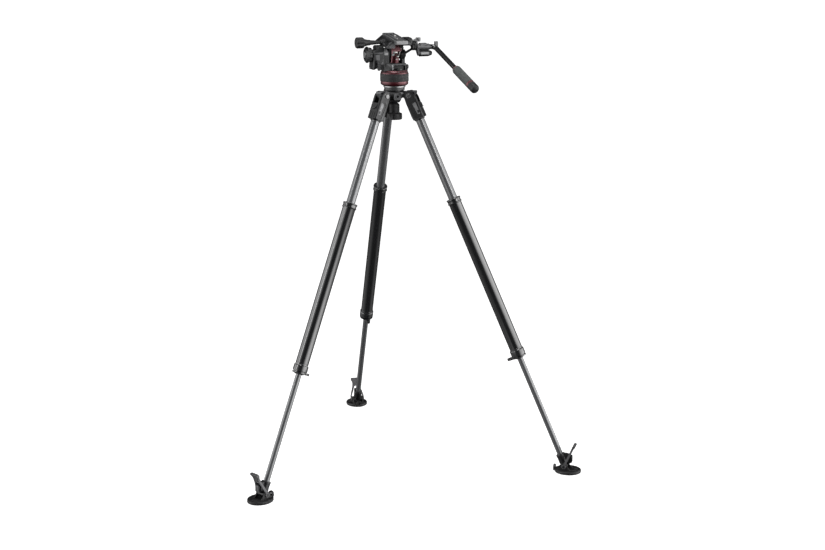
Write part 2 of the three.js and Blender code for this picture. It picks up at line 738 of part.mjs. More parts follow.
for (const [name, azimuth] of Object.entries(LEG_AZIMUTHS)) {
  addLeg(tripod, name, azimuth);
}

const bounds = new THREE.Box3().setFromObject(tripod, true);
const middle = bounds.getCenter(new THREE.Vector3());
tripod.position.set(-middle.x, -middle.y, -bounds.min.z);

export default tripod;
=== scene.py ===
"""Looks of the tripod with fluid head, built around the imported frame."""

import json
import math

import bpy
from mathutils import Matrix, Vector


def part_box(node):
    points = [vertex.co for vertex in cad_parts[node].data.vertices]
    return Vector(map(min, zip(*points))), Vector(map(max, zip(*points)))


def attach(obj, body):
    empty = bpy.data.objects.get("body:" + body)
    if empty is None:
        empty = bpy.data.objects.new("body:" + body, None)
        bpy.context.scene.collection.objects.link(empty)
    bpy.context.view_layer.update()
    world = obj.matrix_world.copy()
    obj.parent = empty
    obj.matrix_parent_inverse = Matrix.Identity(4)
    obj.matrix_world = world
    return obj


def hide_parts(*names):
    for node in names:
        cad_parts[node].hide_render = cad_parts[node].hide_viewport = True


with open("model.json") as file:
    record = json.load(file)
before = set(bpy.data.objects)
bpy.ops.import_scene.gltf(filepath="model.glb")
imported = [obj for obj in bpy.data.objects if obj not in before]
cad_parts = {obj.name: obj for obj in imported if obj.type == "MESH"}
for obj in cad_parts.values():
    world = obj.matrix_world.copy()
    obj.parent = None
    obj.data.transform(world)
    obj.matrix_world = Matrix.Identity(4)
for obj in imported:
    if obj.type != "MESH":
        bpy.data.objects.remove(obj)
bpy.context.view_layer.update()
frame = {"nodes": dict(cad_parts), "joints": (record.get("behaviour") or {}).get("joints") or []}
joints = {joint["name"]: joint for joint in frame["joints"]}
LEGS = ("left", "right", "rear")
MM = 0.001

# ---------------------------------------------------------------- places taken from the frame


def joint_place(name):
    return Vector(joints[name]["pos_m"])


def joint_axis(name):
    return Vector(joints[name]["axis"]).normalized()


def place(origin, x_axis, y_axis, z_axis):
    """A matrix from millimetres in a local frame to metres in the scene's frame."""
    columns = Matrix((x_axis, y_axis, z_axis)).transposed().to_4x4()
    return Matrix.Translation(origin) @ columns @ Matrix.Scale(MM, 4)


def leg_frame(leg):
    """Hinge at the origin, the leg running down -Z, +X outward."""
    up = -joint_axis(f"extend_upper_{leg}")
    side = -joint_axis(f"spread_{leg}")
    return place(joint_place(f"spread_{leg}"), side.cross(up), side, up)


def foot_frame(leg):
    """Ankle pin at the origin, +Z up, +X outward."""
    side = joint_axis(f"shoe_tilt_{leg}")
    up = Vector((0, 0, 1))
    return place(joint_place(f"shoe_tilt_{leg}"), side.cross(up), side, up)


def leg_azimuth(leg):
    """The direction of a leg as seen from above, in degrees."""
    out = joint_place(f"spread_{leg}") - joint_place("pan")
    return math.degrees(math.atan2(out.y, out.x))


def tilt_frame():
    """The tilt axis is the X axis and +Z is square to the camera plate."""
    up = joint_axis("camera_screw_turn")
    across = joint_axis("tilt")
    return place(joint_place("tilt"), across, up.cross(across), up)


def average(points):
    return sum(points, Vector()) / len(points)


def half_width(node):
    low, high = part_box(node)
    return (high[0] - low[0]) / 2 / MM


def floor_height(node):
    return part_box(node)[0][2] / MM


def top_height(node):
    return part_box(node)[1][2] / MM


def bar_frame():
    """The pan bar's corner at the origin, +Z along its straight towards the grip."""
    bar = [v.co for v in frame["nodes"]["pan_bar"].data.vertices]
    reach = min(point.x for point in bar)
    start = average([point for point in bar if point.x < reach + MM])
    grip = average([v.co for v in frame["nodes"]["bar_grip"].data.vertices])
    cap = average([v.co for v in frame["nodes"]["grip_cap"].data.vertices])
    along = (cap - grip).normalized()
    corner = grip + along * ((start.y - grip.y) / along.y)
    side = along.cross(Vector((1, 0, 0))).normalized()
    return place(corner, side.cross(along), side, along), start


def upright_frame():
    """The bowl's upright axis is the Z axis, with heights from the floor."""
    axis = joint_place("pan")
    return Matrix.Translation((axis.x, axis.y, 0)) @ Matrix.Scale(MM, 4)


WORLD = upright_frame()
TILT = tilt_frame()
BAR, BAR_START = bar_frame()
BALL_HEIGHT = joint_place("level_side").z / MM
TILT_HEIGHT = joint_place("tilt").z / MM
HINGE_RADIUS = (joint_place("spread_left") - joint_place("pan")).xy.length / MM
HINGE_HEIGHT = joint_place("spread_left").z / MM
SPLAY = math.degrees(math.acos(-joint_axis("extend_upper_left").z))
ANKLE_HEIGHT = joint_place("shoe_tilt_left").z / MM
ANKLE_DISTANCE = (joint_place("shoe_tilt_left") - joint_place("spread_left")).length / MM

# ---------------------------------------------------------------- mesh building, in millimetres

FRAMES = {
    "x": Matrix(((0, 0, 1), (1, 0, 0), (0, 1, 0))).to_4x4(),
    "y": Matrix(((1, 0, 0), (0, 0, 1), (0, 1, 0))).to_4x4(),
    "z": Matrix.Identity(4),
}


def shape(vertices, faces):
    """A loose object from a closed list of faces, turned outward."""
    mesh = bpy.data.meshes.new("shape")
    mesh.from_pydata([tuple(v) for v in vertices], [], faces)
    mesh.validate()
    made = bpy.data.objects.new("shape", mesh)
    bpy.context.scene.collection.objects.link(made)
    face_outward(mesh)
    return made


def signed_volume(mesh):
    mesh.calc_loop_triangles()
    points = mesh.vertices
    return sum(
        points[t.vertices[0]].co.dot(points[t.vertices[1]].co.cross(points[t.vertices[2]].co))
        for t in mesh.loop_triangles
    )


def face_outward(mesh):
    if signed_volume(mesh) < 0:
        mesh.flip_normals()


def moved(made, matrix):
    made.data.transform(matrix)
    face_outward(made.data)
    return made


def shifted(made, x=0, y=0, z=0):
    return moved(made, Matrix.Translation((x, y, z)))


def turned_by(made, degrees, axis, about=(0, 0, 0)):
    centre = Matrix.Translation(about)
    return moved(made, centre @ Matrix.Rotation(math.radians(degrees), 4, axis) @ centre.inverted())


def discard(*loose):
    for made in loose:
        mesh = made.data
        bpy.data.objects.remove(made)
        bpy.data.meshes.remove(mesh)


def boolean(base, tools, operation):
    for tool in tools:
        step = base.modifiers.new("boolean", "BOOLEAN")
        step.operation = operation
        step.solver = "MANIFOLD"
        step.object = tool
    bpy.context.view_layer.update()
    result = bpy.data.meshes.new_from_object(base.evaluated_get(bpy.context.evaluated_depsgraph_get()))
    base.modifiers.clear()
    old, base.data = base.data, result
    bpy.data.meshes.remove(old)
    discard(*tools)
    return base


def join(base, *others):
    return boolean(base, others, "UNION") if others else base


def cut(base, *tools):
    return boolean(base, tools, "DIFFERENCE") if tools else base


def common(base, other):
    return boolean(base, [other], "INTERSECT")


def rounded(outline, steps=5):
    """Outline points [u, v] or [u, v, radius]; a corner with a radius becomes an arc."""
    points = []
    for i, point in enumerate(outline):
        corner = Vector(point[:2])
        if len(point) < 3 or not point[2]:
            points.append(corner)
            continue
        back = (Vector(outline[i - 1][:2]) - corner).normalized()
        ahead = (Vector(outline[(i + 1) % len(outline)][:2]) - corner).normalized()
        half = back.angle(ahead) / 2
        middle = corner + (back + ahead).normalized() * (point[2] / math.sin(half))
        start = corner + back * (point[2] / math.tan(half)) - middle
        end = corner + ahead * (point[2] / math.tan(half)) - middle
        sweep = start.angle_signed(end)
        for k in range(steps + 1):
            turn = Matrix.Rotation(-sweep * k / steps, 2)
            points.append(middle + turn @ start)
    return points


def arc(radius, centre, start, end, steps=12):
    """Points on a round, polar angles in degrees."""
    angles = [math.radians(start + (end - start) * k / steps) for k in range(steps + 1)]
    return [(centre[0] + radius * math.cos(a), centre[1] + radius * math.sin(a)) for a in angles]


def rectangle(u, v, width, height, corner=0.0):
    a, b = width / 2, height / 2
    return [(u - a, v - b, corner), (u + a, v - b, corner), (u + a, v + b, corner), (u - a, v + b, corner)]


def mirrored(half, middle=0):
    """A whole outline from its half on the +u side of a middle line."""
    return half + [(2 * middle - point[0], *point[1:]) for point in reversed(half)]


def slab(axis, outline, low, high):
    """An outline extruded along an axis. Outlines are (y, z), (x, z) or (x, y)."""
    points = rounded(outline)
    n = len(points)
    vertices = [(p.x, p.y, low) for p in points] + [(p.x, p.y, high) for p in points]
    faces = [list(range(n))[::-1], list(range(n, 2 * n))]
    faces += [[k, (k + 1) % n, n + (k + 1) % n, n + k] for k in range(n)]
    return moved(shape(vertices, faces), FRAMES[axis])


def slab_pair(outline, near, far):
    """Two slabs along Y, each from near to far on its own side of the middle."""
    return [slab("y", outline, -far, -near), slab("y", outline, near, far)]


def block(x, y, z):
    return slab("z", [(x[0], y[0]), (x[1], y[0]), (x[1], y[1]), (x[0], y[1])], z[0], z[1])


def lathe(profile, sides=64, ripple=None):
    """A profile of (radius, height) turned about Z: it ends on the axis or closes on itself.
    ripple(radius, height, angle) may change the radius."""
    vertices, rings = [], []
    for radius, height in profile:
        if radius < 1e-6:
            rings.append([len(vertices)])
            vertices.append((0, 0, height))
            continue
        ring = []
        for k in range(sides):
            angle = 2 * math.pi * k / sides
            reach = ripple(radius, height, angle) if ripple else radius
            ring.append(len(vertices))
            vertices.append((reach * math.cos(angle), reach * math.sin(angle), height))
        rings.append(ring)
    pairs = list(zip(rings, rings[1:]))
    if len(rings[0]) > 1:
        pairs.append((rings[-1], rings[0]))
    faces = []
    for lower, upper in pairs:
        for k in range(sides):
            near, far = k, (k + 1) % sides
            if len(lower) == 1 and len(upper) > 1:
                faces.append([lower[0], upper[far], upper[near]])
            elif len(upper) == 1 and len(lower) > 1:
                faces.append([lower[near], lower[far], upper[0]])
            elif len(upper) > 1:
                faces.append([lower[near], lower[far], upper[far], upper[near]])
    return shape(vertices, faces)


def skin(rings):
    """A closed skin over rings that have the same number of points."""
    sides = len(rings[0])
    last = (len(rings) - 1) * sides
    faces = [list(range(sides))[::-1], list(range(last, last + sides))]
    for first in range(0, last, sides):
        for k in range(sides):
            a, b = first + k, first + (k + 1) % sides
            faces.append([a, b, b + sides, a + sides])
    return shape([point for ring in rings for point in ring], faces)


def along(axis, made, u=0, v=0):
    """Turns a piece built about Z to stand about another axis, at the place (u, v) across it."""
    return moved(made, FRAMES[axis] @ Matrix.Translation((u, v, 0)))


def rod(axis, radius, low, high, u=0, v=0, sides=48):
    return along(axis, lathe([(0, low), (radius, low), (radius, high), (0, high)], sides), u, v)


def bevelled_rod(axis, radius, low, high, u=0, v=0, edge=0.8, sides=64):
    profile = [
        (0, low), (radius - edge, low), (radius, low + edge), (radius, high - edge),
        (radius - edge, high), (0, high),
    ]
    return along(axis, lathe(profile, sides), u, v)


def beam(start, end, width, depth, corner=1.5):
    """A straight bar of rounded-rectangle section between two points."""
    start, end = Vector(start), Vector(end)
    run = end - start
    made = slab("z", rectangle(0, 0, width, depth, corner), 0, run.length)
    turn = run.to_track_quat("Z", "X").to_matrix().to_4x4()
    return moved(made, Matrix.Translation(start) @ turn)


def set_at(made, spot, degrees=0.0, axis="X"):
    """Turns a piece about an axis, then shifts it to a spot."""
    return moved(made, Matrix.Translation(spot) @ Matrix.Rotation(math.radians(degrees), 4, axis))


def around(count, build, first=0.0):
    """Copies of what build() makes, spaced evenly about Z."""
    return [turned_by(build(), first + 360 * k / count, "Z") for k in range(count)]


def socket_screw(radius=3.2, height=2.4):
    """A cap screw standing on the XY plane, with a hexagon socket."""
    head = lathe([(0, 0), (radius, 0), (radius, height - 0.5), (radius - 0.5, height), (0, height)], 32)
    return cut(head, rod("z", radius * 0.52, height * 0.4, height + 1, sides=6))


def knurl(count, depth):
    """A ripple for lathe(): soft scallops of some depth all round."""
    def ripple(radius, height, angle):
        return radius - depth * (0.5 - 0.5 * math.cos(count * angle))
    return ripple


# ---------------------------------------------------------------- materials


def ramp(tree, value, start, end, low, high, curve="SMOOTHSTEP"):
    """Takes a value between start and end to a value between low and high."""
    node = tree.nodes.new("ShaderNodeMapRange")
    node.interpolation_type = curve
    ends = {"From Min": start, "From Max": end, "To Min": low, "To Max": high}
    for socket, number in ends.items():
        node.inputs[socket].default_value = number
    tree.links.new(value, node.inputs["Value"])
    return node.outputs["Result"]


def combined(tree, operation, a, b=0.0):
    """A Math node of two values, each a number or the output of another node."""
    node = tree.nodes.new("ShaderNodeMath")
    node.operation = operation
    for value, socket in ((a, node.inputs[0]), (b, node.inputs[1])):
        if isinstance(value, (int, float)):
            socket.default_value = value
        else:
            tree.links.new(value, socket)
    return node.outputs[0]


class Paint:
    """A node material being built."""

    def __init__(self, name, color, roughness, metallic=0.0):
        self.material = bpy.data.materials.new(name)
        self.material.use_nodes = True
        self.nodes = self.material.node_tree.nodes
        self.links = self.material.node_tree.links
        self.shader = self.nodes["Principled BSDF"]
        self.color = color
        self.shader.inputs["Base Color"].default_value = (*color, 1)
        self.shader.inputs["Roughness"].default_value = roughness
        self.shader.inputs["Metallic"].default_value = metallic
        self.coordinates = self.add("ShaderNodeTexCoord").outputs["Object"]
        self.bumps = None

    def add(self, kind, **settings):
        node = self.nodes.new(kind)
        for key, value in settings.items():
            setattr(node, key, value)
        return node

    def noise(self, scale, detail=4.0, stretch=(1, 1, 1)):
        mapping = self.add("ShaderNodeMapping")
        mapping.inputs["Scale"].default_value = stretch
        self.links.new(self.coordinates, mapping.inputs["Vector"])
        node = self.add("ShaderNodeTexNoise")
        node.inputs["Scale"].default_value = scale
        node.inputs["Detail"].default_value = detail
        self.links.new(mapping.outputs["Vector"], node.inputs["Vector"])
        return node.outputs["Fac"]

    def cells(self, scale):
        node = self.add("ShaderNodeTexVoronoi")
        node.inputs["Scale"].default_value = scale
        self.links.new(self.coordinates, node.inputs["Vector"])
        return node.outputs["Distance"]

    def ranged(self, value, low, high, start=0.3, end=0.7):
        return ramp(self.material.node_tree, value, start, end, low, high, "LINEAR")

    def vary_roughness(self, value, low, high):
        self.links.new(self.ranged(value, low, high), self.shader.inputs["Roughness"])

    def mix(self, factor, other):
        """Mixes the base colour with another one by a factor from 0 to 1."""
        node = self.add("ShaderNodeMix", data_type="RGBA")
        self.links.new(factor, node.inputs["Factor"])
        source = self.shader.inputs["Base Color"]
        if source.is_linked:
            self.links.new(source.links[0].from_socket, node.inputs["A"])
        else:
            node.inputs["A"].default_value = source.default_value
        node.inputs["B"].default_value = (*other, 1)
        self.links.new(node.outputs["Result"], source)

    def bump(self, value, strength, distance):
        node = self.add("ShaderNodeBump")
        node.inputs["Strength"].default_value = strength
        node.inputs["Distance"].default_value = distance * MM
        self.links.new(value, node.inputs["Height"])
        if self.bumps:
            self.links.new(self.bumps, node.inputs["Normal"])
        self.bumps = node.outputs["Normal"]
        self.links.new(self.bumps, self.shader.inputs["Normal"])

    # Painted highlight: sharp edges, found by Pointiness, are lightened towards a paler colour that stands in
    # for the light they catch.
    def painted_edge_highlight(self, other, start=0.53, end=0.6, share=0.5):
        geometry = self.add("ShaderNodeNewGeometry")
        self.mix(self.ranged(geometry.outputs["Pointiness"], 0, share, start, end), other)


def cast_paint():
    """Fine textured black paint on castings, with sharp edges a little lighter as a painted highlight."""
    paint = Paint("cast_black", (0.004, 0.0042, 0.0048), 0.36)
    paint.shader.inputs["Specular IOR Level"].default_value = 0.3
    paint.mix(paint.ranged(paint.noise(35, 3), 0, 0.5), (0.009, 0.0093, 0.0101))
    paint.vary_roughness(paint.noise(60, 5), 0.28, 0.42)
    paint.bump(paint.noise(1500, 2), 0.15, 0.04)
    # Painted highlight: pale grey on sharp edges.
    paint.painted_edge_highlight((0.13, 0.13, 0.135))
    return paint.material


def gloss_paint():
    """Glossy black tube with a faint orange peel."""
    paint = Paint("gloss_tube", (0.006, 0.0063, 0.007), 0.17)
    paint.vary_roughness(paint.noise(25, 4), 0.13, 0.24)
    paint.bump(paint.noise(180, 2, (1, 1, 0.35)), 0.12, 0.08)
    paint.shader.inputs["Coat Weight"].default_value = 0.6
    paint.shader.inputs["Coat Roughness"].default_value = 0.1
    # Painted highlight: a faintly lighter grey on sharp edges.
    paint.painted_edge_highlight((0.05, 0.05, 0.053))
    return paint.material


def carbon():
    """Twill-woven carbon tube under satin lacquer; the weave follows the tube's own UV."""
    paint = Paint("carbon_tube", (0.05, 0.0515, 0.054), 0.3, 0.25)
    uv = paint.add("ShaderNodeUVMap").outputs["UV"]
    split = paint.add("ShaderNodeSeparateXYZ")
    paint.links.new(uv, split.inputs["Vector"])
    tree = paint.material.node_tree
    shift = combined(tree, "MULTIPLY", combined(tree, "FLOOR", split.outputs["Y"]), 0.25)
    twill = combined(tree, "FRACT", combined(tree, "ADD", split.outputs["X"], shift))
    over = combined(tree, "GREATER_THAN", twill, 0.5)
    paint.mix(combined(tree, "MULTIPLY", over, 0.5), (0.1, 0.103, 0.108))
    paint.mix(paint.ranged(paint.noise(14, 3, (1, 1, 0.1)), 0, 0.3), (0.12, 0.123, 0.128))
    paint.vary_roughness(paint.noise(30, 3), 0.24, 0.36)
    paint.bump(over, 0.12, 0.04)
    paint.shader.inputs["Coat Weight"].default_value = 0.8
    paint.shader.inputs["Coat Roughness"].default_value = 0.14
    return paint.material


def rubber():
    paint = Paint("rubber_black", (0.006, 0.006, 0.0066), 0.6)
    paint.shader.inputs["Specular IOR Level"].default_value = 0.36
    paint.mix(paint.ranged(paint.noise(40, 4), 0, 0.6), (0.016, 0.016, 0.017))
    paint.vary_roughness(paint.noise(90, 4), 0.5, 0.7)
    paint.bump(paint.noise(900, 3), 0.25, 0.08)
    # Painted highlight: lighter grey on sharp edges.
    paint.painted_edge_highlight((0.11, 0.11, 0.112), 0.54, 0.62)
    return paint.material


def red_metal():
    """Dark red anodised aluminium with fine turning marks."""
    paint = Paint("red_metal", (0.045, 0.003, 0.0065), 0.3, 0.45)
    paint.mix(paint.ranged(paint.noise(30, 3), 0, 0.4), (0.065, 0.005, 0.01))
    paint.vary_roughness(paint.noise(500, 2, (0.05, 0.05, 1)), 0.24, 0.38)
    paint.bump(paint.noise(1200, 1, (0.02, 0.02, 1)), 0.15, 0.03)
    # Painted highlight: pink on sharp edges.
    paint.painted_edge_highlight((0.5, 0.25, 0.27), 0.55, 0.62, 0.6)
    return paint.material


def bright_metal():
    paint = Paint("bright_steel", (0.34, 0.335, 0.325), 0.34, 0.9)
    paint.vary_roughness(paint.noise(700, 2, (0.05, 0.05, 1)), 0.22, 0.4)
    paint.bump(paint.noise(1400, 1, (0.02, 0.02, 1)), 0.12, 0.03)
    paint.mix(paint.ranged(paint.noise(50, 4), 0, 0.3), (0.26, 0.26, 0.254))
    return paint.material


def foam():
    """Closed-cell foam of the pan bar's grip."""
    paint = Paint("grip_foam", (0.045, 0.05, 0.049), 0.8)
    paint.mix(paint.ranged(paint.cells(900), 0.35, 0, 0.0, 0.35), (0.03, 0.033, 0.033))
    paint.mix(paint.ranged(paint.noise(60, 2), 0, 0.2), (0.06, 0.065, 0.064))
    paint.vary_roughness(paint.noise(120, 4), 0.75, 0.95)
    paint.bump(paint.cells(900), 0.4, 0.15)
    return paint.material


def pale_face():
    """Light grey satin face of small machined or moulded inserts."""
    paint = Paint("pale_face", (0.24, 0.243, 0.247), 0.4, 0.1)
    paint.mix(paint.ranged(paint.noise(80, 4), 0, 0.4), (0.18, 0.182, 0.185))
    paint.vary_roughness(paint.noise(200, 4), 0.35, 0.55)
    paint.bump(paint.noise(800, 2), 0.2, 0.04)
    return paint.material


def graphite():
    """Dark grey anodised faces of machined plates."""
    paint = Paint("graphite", (0.075, 0.0765, 0.079), 0.36, 0.2)
    paint.mix(paint.ranged(paint.noise(50, 4), 0, 0.5), (0.11, 0.112, 0.115))
    paint.vary_roughness(paint.noise(300, 3, (1, 0.1, 1)), 0.3, 0.44)
    paint.bump(paint.noise(1200, 2), 0.15, 0.04)
    # Painted highlight: light grey on sharp edges.
    paint.painted_edge_highlight((0.3, 0.3, 0.305), 0.53, 0.6, 0.7)
    return paint.material


def dark_steel():
    """Blackened steel of the hinge bolts."""
    paint = Paint("dark_steel", (0.05, 0.05, 0.052), 0.32, 0.8)
    paint.mix(paint.ranged(paint.noise(90, 4), 0, 0.5), (0.09, 0.09, 0.092))
    paint.vary_roughness(paint.noise(400, 3), 0.25, 0.4)
    paint.bump(paint.noise(1000, 2), 0.12, 0.03)
    # Painted highlight: light grey on sharp edges.
    paint.painted_edge_highlight((0.4, 0.4, 0.4), 0.53, 0.6, 0.6)
    return paint.material


def vial():
    """Green liquid seen through the level's window."""
    paint = Paint("vial_glass", (0.32, 0.5, 0.16), 0.12)
    paint.mix(paint.ranged(paint.noise(120, 2), 0, 0.4), (0.5, 0.64, 0.3))
    paint.vary_roughness(paint.noise(200, 2), 0.06, 0.16)
    paint.bump(paint.noise(300, 1), 0.05, 0.02)
    paint.shader.inputs["Coat Weight"].default_value = 0.8
    return paint.material


MATERIALS = {
    "cast_black": cast_paint(),
    "gloss_tube": gloss_paint(),
    "carbon_tube": carbon(),
    "rubber_black": rubber(),
    "red_metal": red_metal(),
    "bright_steel": bright_metal(),
    "grip_foam": foam(),
    "vial_glass": vial(),
    "pale_face": pale_face(),
    "graphite": graphite(),
    "dark_steel": dark_steel(),
}

# ---------------------------------------------------------------- finishing a piece


def finish_piece(made, name, body, slot, matrix, replaces=(), edge=0.5, smooth=40, segments=2):
    """Names a piece, puts it in the scene's frame, rounds its edges and rides it on its body."""
    made.name = name
    made.data.name = name
    moved(made, matrix)
    made.data.materials.clear()
    made.data.materials.append(MATERIALS[slot])
    if edge:
        bevel = made.modifiers.new("edges", "BEVEL")
        bevel.width = edge * MM
        bevel.segments = segments
        bevel.limit_method = "ANGLE"
        bevel.angle_limit = math.radians(smooth)
        bevel.use_clamp_overlap = True
    for polygon in made.data.polygons:
        polygon.use_smooth = True
    made.data.set_sharp_from_angle(angle=math.radians(smooth))
    if edge:
        weighted = made.modifiers.new("normals", "WEIGHTED_NORMAL")
        weighted.keep_sharp = True
    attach(made, body)
    if replaces:
        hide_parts(*replaces)
    return made


def wrap_uv(made, across, down):
    """UVs for a tube about Z in its local frame: cells across mm round it and down mm along it."""
    layer = made.data.uv_layers.new(name="UVMap")
    for polygon in made.data.polygons:
        corners = [made.data.vertices[v].co for v in polygon.vertices]
        angles = [math.atan2(c.y, c.x) for c in corners]
        if max(angles) - min(angles) > math.pi:
            angles = [a + 2 * math.pi if a < 0 else a for a in angles]
        for loop, corner, angle in zip(polygon.loop_indices, corners, angles):
            layer.data[loop].uv = (angle * corner.xy.length / across, corner.z / down)


# ---------------------------------------------------------------- crown, bowl and clamp

LUG_HALF = 9.5
BOWL = {"seat": 30.7, "shell": 36, "radius": 37, "opening": 14, "rim": BALL_HEIGHT - 4}


def below(radius, reach):
    """Polar angle on a sphere, in degrees, where its lower half has some horizontal reach."""
    return -math.degrees(math.acos(reach / radius))


def crown():
    centre = (0, BALL_HEIGHT)
    seat, shell, radius = BOWL["seat"], BOWL["shell"], BOWL["radius"]
    rim = BOWL["rim"]
    seat_top = below(seat, math.sqrt(seat ** 2 - (BALL_HEIGHT - rim) ** 2))
    made = lathe([
        *arc(seat, centre, seat_top, below(seat, BOWL["opening"]), 14),
        *arc(shell, centre, below(shell, BOWL["opening"]), below(shell, 32.7), 12),
        (34.5, HINGE_HEIGHT - 1.5), (radius, HINGE_HEIGHT + 1), (radius, rim - 0.8), (radius - 0.8, rim),
    ], 96)
    parts = []
    for leg in LEGS:
        turn = leg_azimuth(leg)
        parts += [turned_by(crown_lug(), turn, "Z"), turned_by(crown_boss(), turn + 60, "Z")]
        parts += [turned_by(crown_rib(side), turn, "Z") for side in (-1, 1)]
    return join(made, *parts)


def crown_lug():
    ball = BALL_HEIGHT
    rim = BOWL["rim"]
    outline = [
        (34, ball - 25), (42, ball - 30.5, 3), (58, ball - 30.5, 8), (68, ball - 20, 4),
        (74, ball - 7, 3), (74, ball, 1.5), (44, ball, 2), (37.5, rim), (34, rim),
    ]
    lug = slab("y", outline, -LUG_HALF, LUG_HALF)
    pocket = [
        (60, ball - 9, 2), (69.5, ball - 9, 2), (69.5, ball - 3.5, 2), (48, ball - 3.5, 2),
        (48, ball - 6, 1),
    ]
    pockets = slab_pair(pocket, LUG_HALF - 2.5, LUG_HALF + 1)
    return cut(lug, rod("y", 4.6, -12, 12, HINGE_RADIUS, HINGE_HEIGHT), *pockets)


def crown_boss():
    ball = BALL_HEIGHT
    boss = slab("x", rectangle(0, ball - 17, 24, 22, 4), 33.5, 43)
    collar = rod("x", 7.5, 40, 44, 0, ball - 17)
    return cut(join(boss, collar), rod("x", 4.5, 36, 50, 0, ball - 17))


def crown_rib(side):
    """The bowed edge that runs from the boss to the lug."""
    outer = arc(41, (0, 0), side * 14, side * 46, 10)
    inner = arc(35, (0, 0), side * 46, side * 14, 10)
    return slab("z", outer + inner, BOWL["rim"] - 6.5, BOWL["rim"] - 0.6)


def clamp_washer():
    ball = BALL_HEIGHT
    inner, edge, hole = 36.6, 22, 9.5
    top = (hole, ball - math.sqrt(inner ** 2 - hole ** 2))
    return lathe([
        *arc(inner, (0, ball), below(inner, hole), below(inner, edge), 10)[1:],
        (edge, ball - 32), (17, ball - 39.6), (hole, ball - 39.6), top,
    ], 72)


def clamp_handle():
    ball = BALL_HEIGHT
    body = lathe([
        (0, ball - 96), (21.5, ball - 96), (24, ball - 95), (25, ball - 92.5), (25, ball - 78.5),
        (24, ball - 76), (21, ball - 75), (17, ball - 73), (16.5, ball - 71), (16.5, ball - 48),
        (14.5, ball - 44.5), (9, ball - 41), (0, ball - 41),
    ], 96)
    scallops = around(6, lambda: rod("z", 6.5, ball - 101, ball - 77.5, 28.4, 0))
    flutes = around(12, lambda: slab("z", rectangle(17, 0, 1.6, 2.4, 0.4), ball - 70, ball - 50), 15)
    return cut(body, rod("z", 6.6, ball - 88, ball - 36), *scallops, *flutes)


def half_ball():
    ball = BALL_HEIGHT
    flat = ball - 20
    reach = math.sqrt(30 ** 2 - (ball - flat) ** 2)
    return lathe([
        (0, ball - 84), (5.4, ball - 84), (6, ball - 83.4), (6, flat),
        *arc(30, (0, ball), below(30, reach), 0, 16), (32.9, ball + 0.6), (33.5, ball + 1.2),
        (33.5, ball + 9.4), (32.9, ball + 10), (0, ball + 10),
    ], 96)


def add_crown():
    ball = BALL_HEIGHT
    finish_piece(crown(), "crown_casting", "crown", "cast_black", WORLD, ["crown"], 0.6)
    finish_piece(clamp_washer(), "washer_dish", "washer", "cast_black", WORLD, ["clamp_washer"], 0.3)
    finish_piece(clamp_handle(), "clamp_grip", "clamp", "rubber_black", WORLD, ["clamp_handle"], 0.5)
    finish_piece(half_ball(), "bowl_ball", "head_base", "cast_black", WORLD, ["half_ball"], 0)
    ring = lathe([
        (0, ball + 10.3), (35.5, ball + 10.3), (36, ball + 10.8), (36, ball + 14.8), (34.8, ball + 16),
        (0, ball + 16),
    ], 96)
    finish_piece(ring, "bright_flange", "head_base", "dark_steel", WORLD, ["base_plate"], 0)


# ---------------------------------------------------------------- legs

UPPER = {"radius": 14.5, "bore": 12.5, "start": 32.3, "end": 600}
SLEEVE = {"radius": 21.25, "collar": 24, "start": 363.3, "end": 904.4, "gland": 15.2}
COLLAR = {"start": 905, "end": 936, "bore": 10.1, "eyelet": 34}
LOWER = {"radius": 9.5, "bore": 7.7, "start": 760, "end": 1300}
LEVER_LEAN = 24
KNUCKLE = {"inner": -18.5, "outer": 21.6, "half": 20, "head": 16, "web": 29.5, "end": 81}


def knuckle():
    inner, outer, half = KNUCKLE["inner"], KNUCKLE["outer"], KNUCKLE["half"]
    head, web, end = KNUCKLE["head"], KNUCKLE["web"], KNUCKLE["end"]
    profile = [
        (outer, -end, 1), (outer, -10, 8), *arc(head, (0, 0), 24, 180, 16), (inner, -26, 8),
        (inner, -end + 13, 4), (-15.5, -end),
    ]
    section = rectangle((inner + outer) / 2, 0, outer - inner, 2 * half, 5)
    body = common(slab("y", profile, -half, half), slab("z", section, -end - 1, head + 1))
    hubs = [rod("y", 12.5, *side) for side in ((-half - 0.31, -half + 2), (half - 2, half + 0.31))]
    gland = lathe([(0, -end - 4), (16.8, -end - 4), (17.4, -end - 3.4), (17.4, -end + 2), (0, -end + 2)], 72)
    panels = slab_pair([(-9, -27, 3), (14, -24, 3), (15.5, -76, 2), (-4, -76, 2)], half - 1.2, half + 1)
    ribs = [block((16.8, outer + 1), (y - 1, y + 1), (-end + 4, -58)) for y in (-9, 0, 9)]
    return cut(
        join(body, gland, *hubs),
        block((-30, 30), (-LUG_HALF - 0.7, LUG_HALF + 0.7), (-web, head + 2)),
        rod("z", UPPER["radius"] + 0.3, -end - 6, -UPPER["start"] + 0.3, sides=72),
        rod("y", 4.4, -half - 1, half + 1),
        block((17, outer + 1), (-3.4, 3.4), (-50, -37)),
        *panels,
        *ribs,
    )


def knuckle_panel(side):
    """The satin insert let into each cheek of the socket."""
    half = KNUCKLE["half"]
    faces = sorted((side * (half - 1.1), side * (half - 0.2)))
    panel = slab("y", [(1.6, -28, 3), (15.4, -26, 3), (17.6, -66, 2), (5.4, -66, 2)], *faces)
    grooves = [block((-14, 20), (faces[0] - 1, faces[1] + 1), (z - 0.4, z + 0.4)) for z in (-44, -48)]
    pit = slab("y", rectangle(11.5, -58, 7, 8, 2), faces[0] - 1, faces[1] + 1)
    return cut(panel, *grooves, pit)


def hinge_bolt():
    half = KNUCKLE["half"] + 0.3
    shank = rod("y", 4, -half - 1, half + 1)
    rim = [(0, -half - 3.2), (8.2, -half - 3.2), (9, -half - 2.4), (9, -half), (0, -half)]
    head = along("y", lathe(rim, 48))
    nut = rod("y", 7.5, half, half + 2.6, sides=6)
    socket = rod("y", 3.2, -half - 4, -half - 1.2, sides=6)
    return cut(join(shank, head, nut), socket)


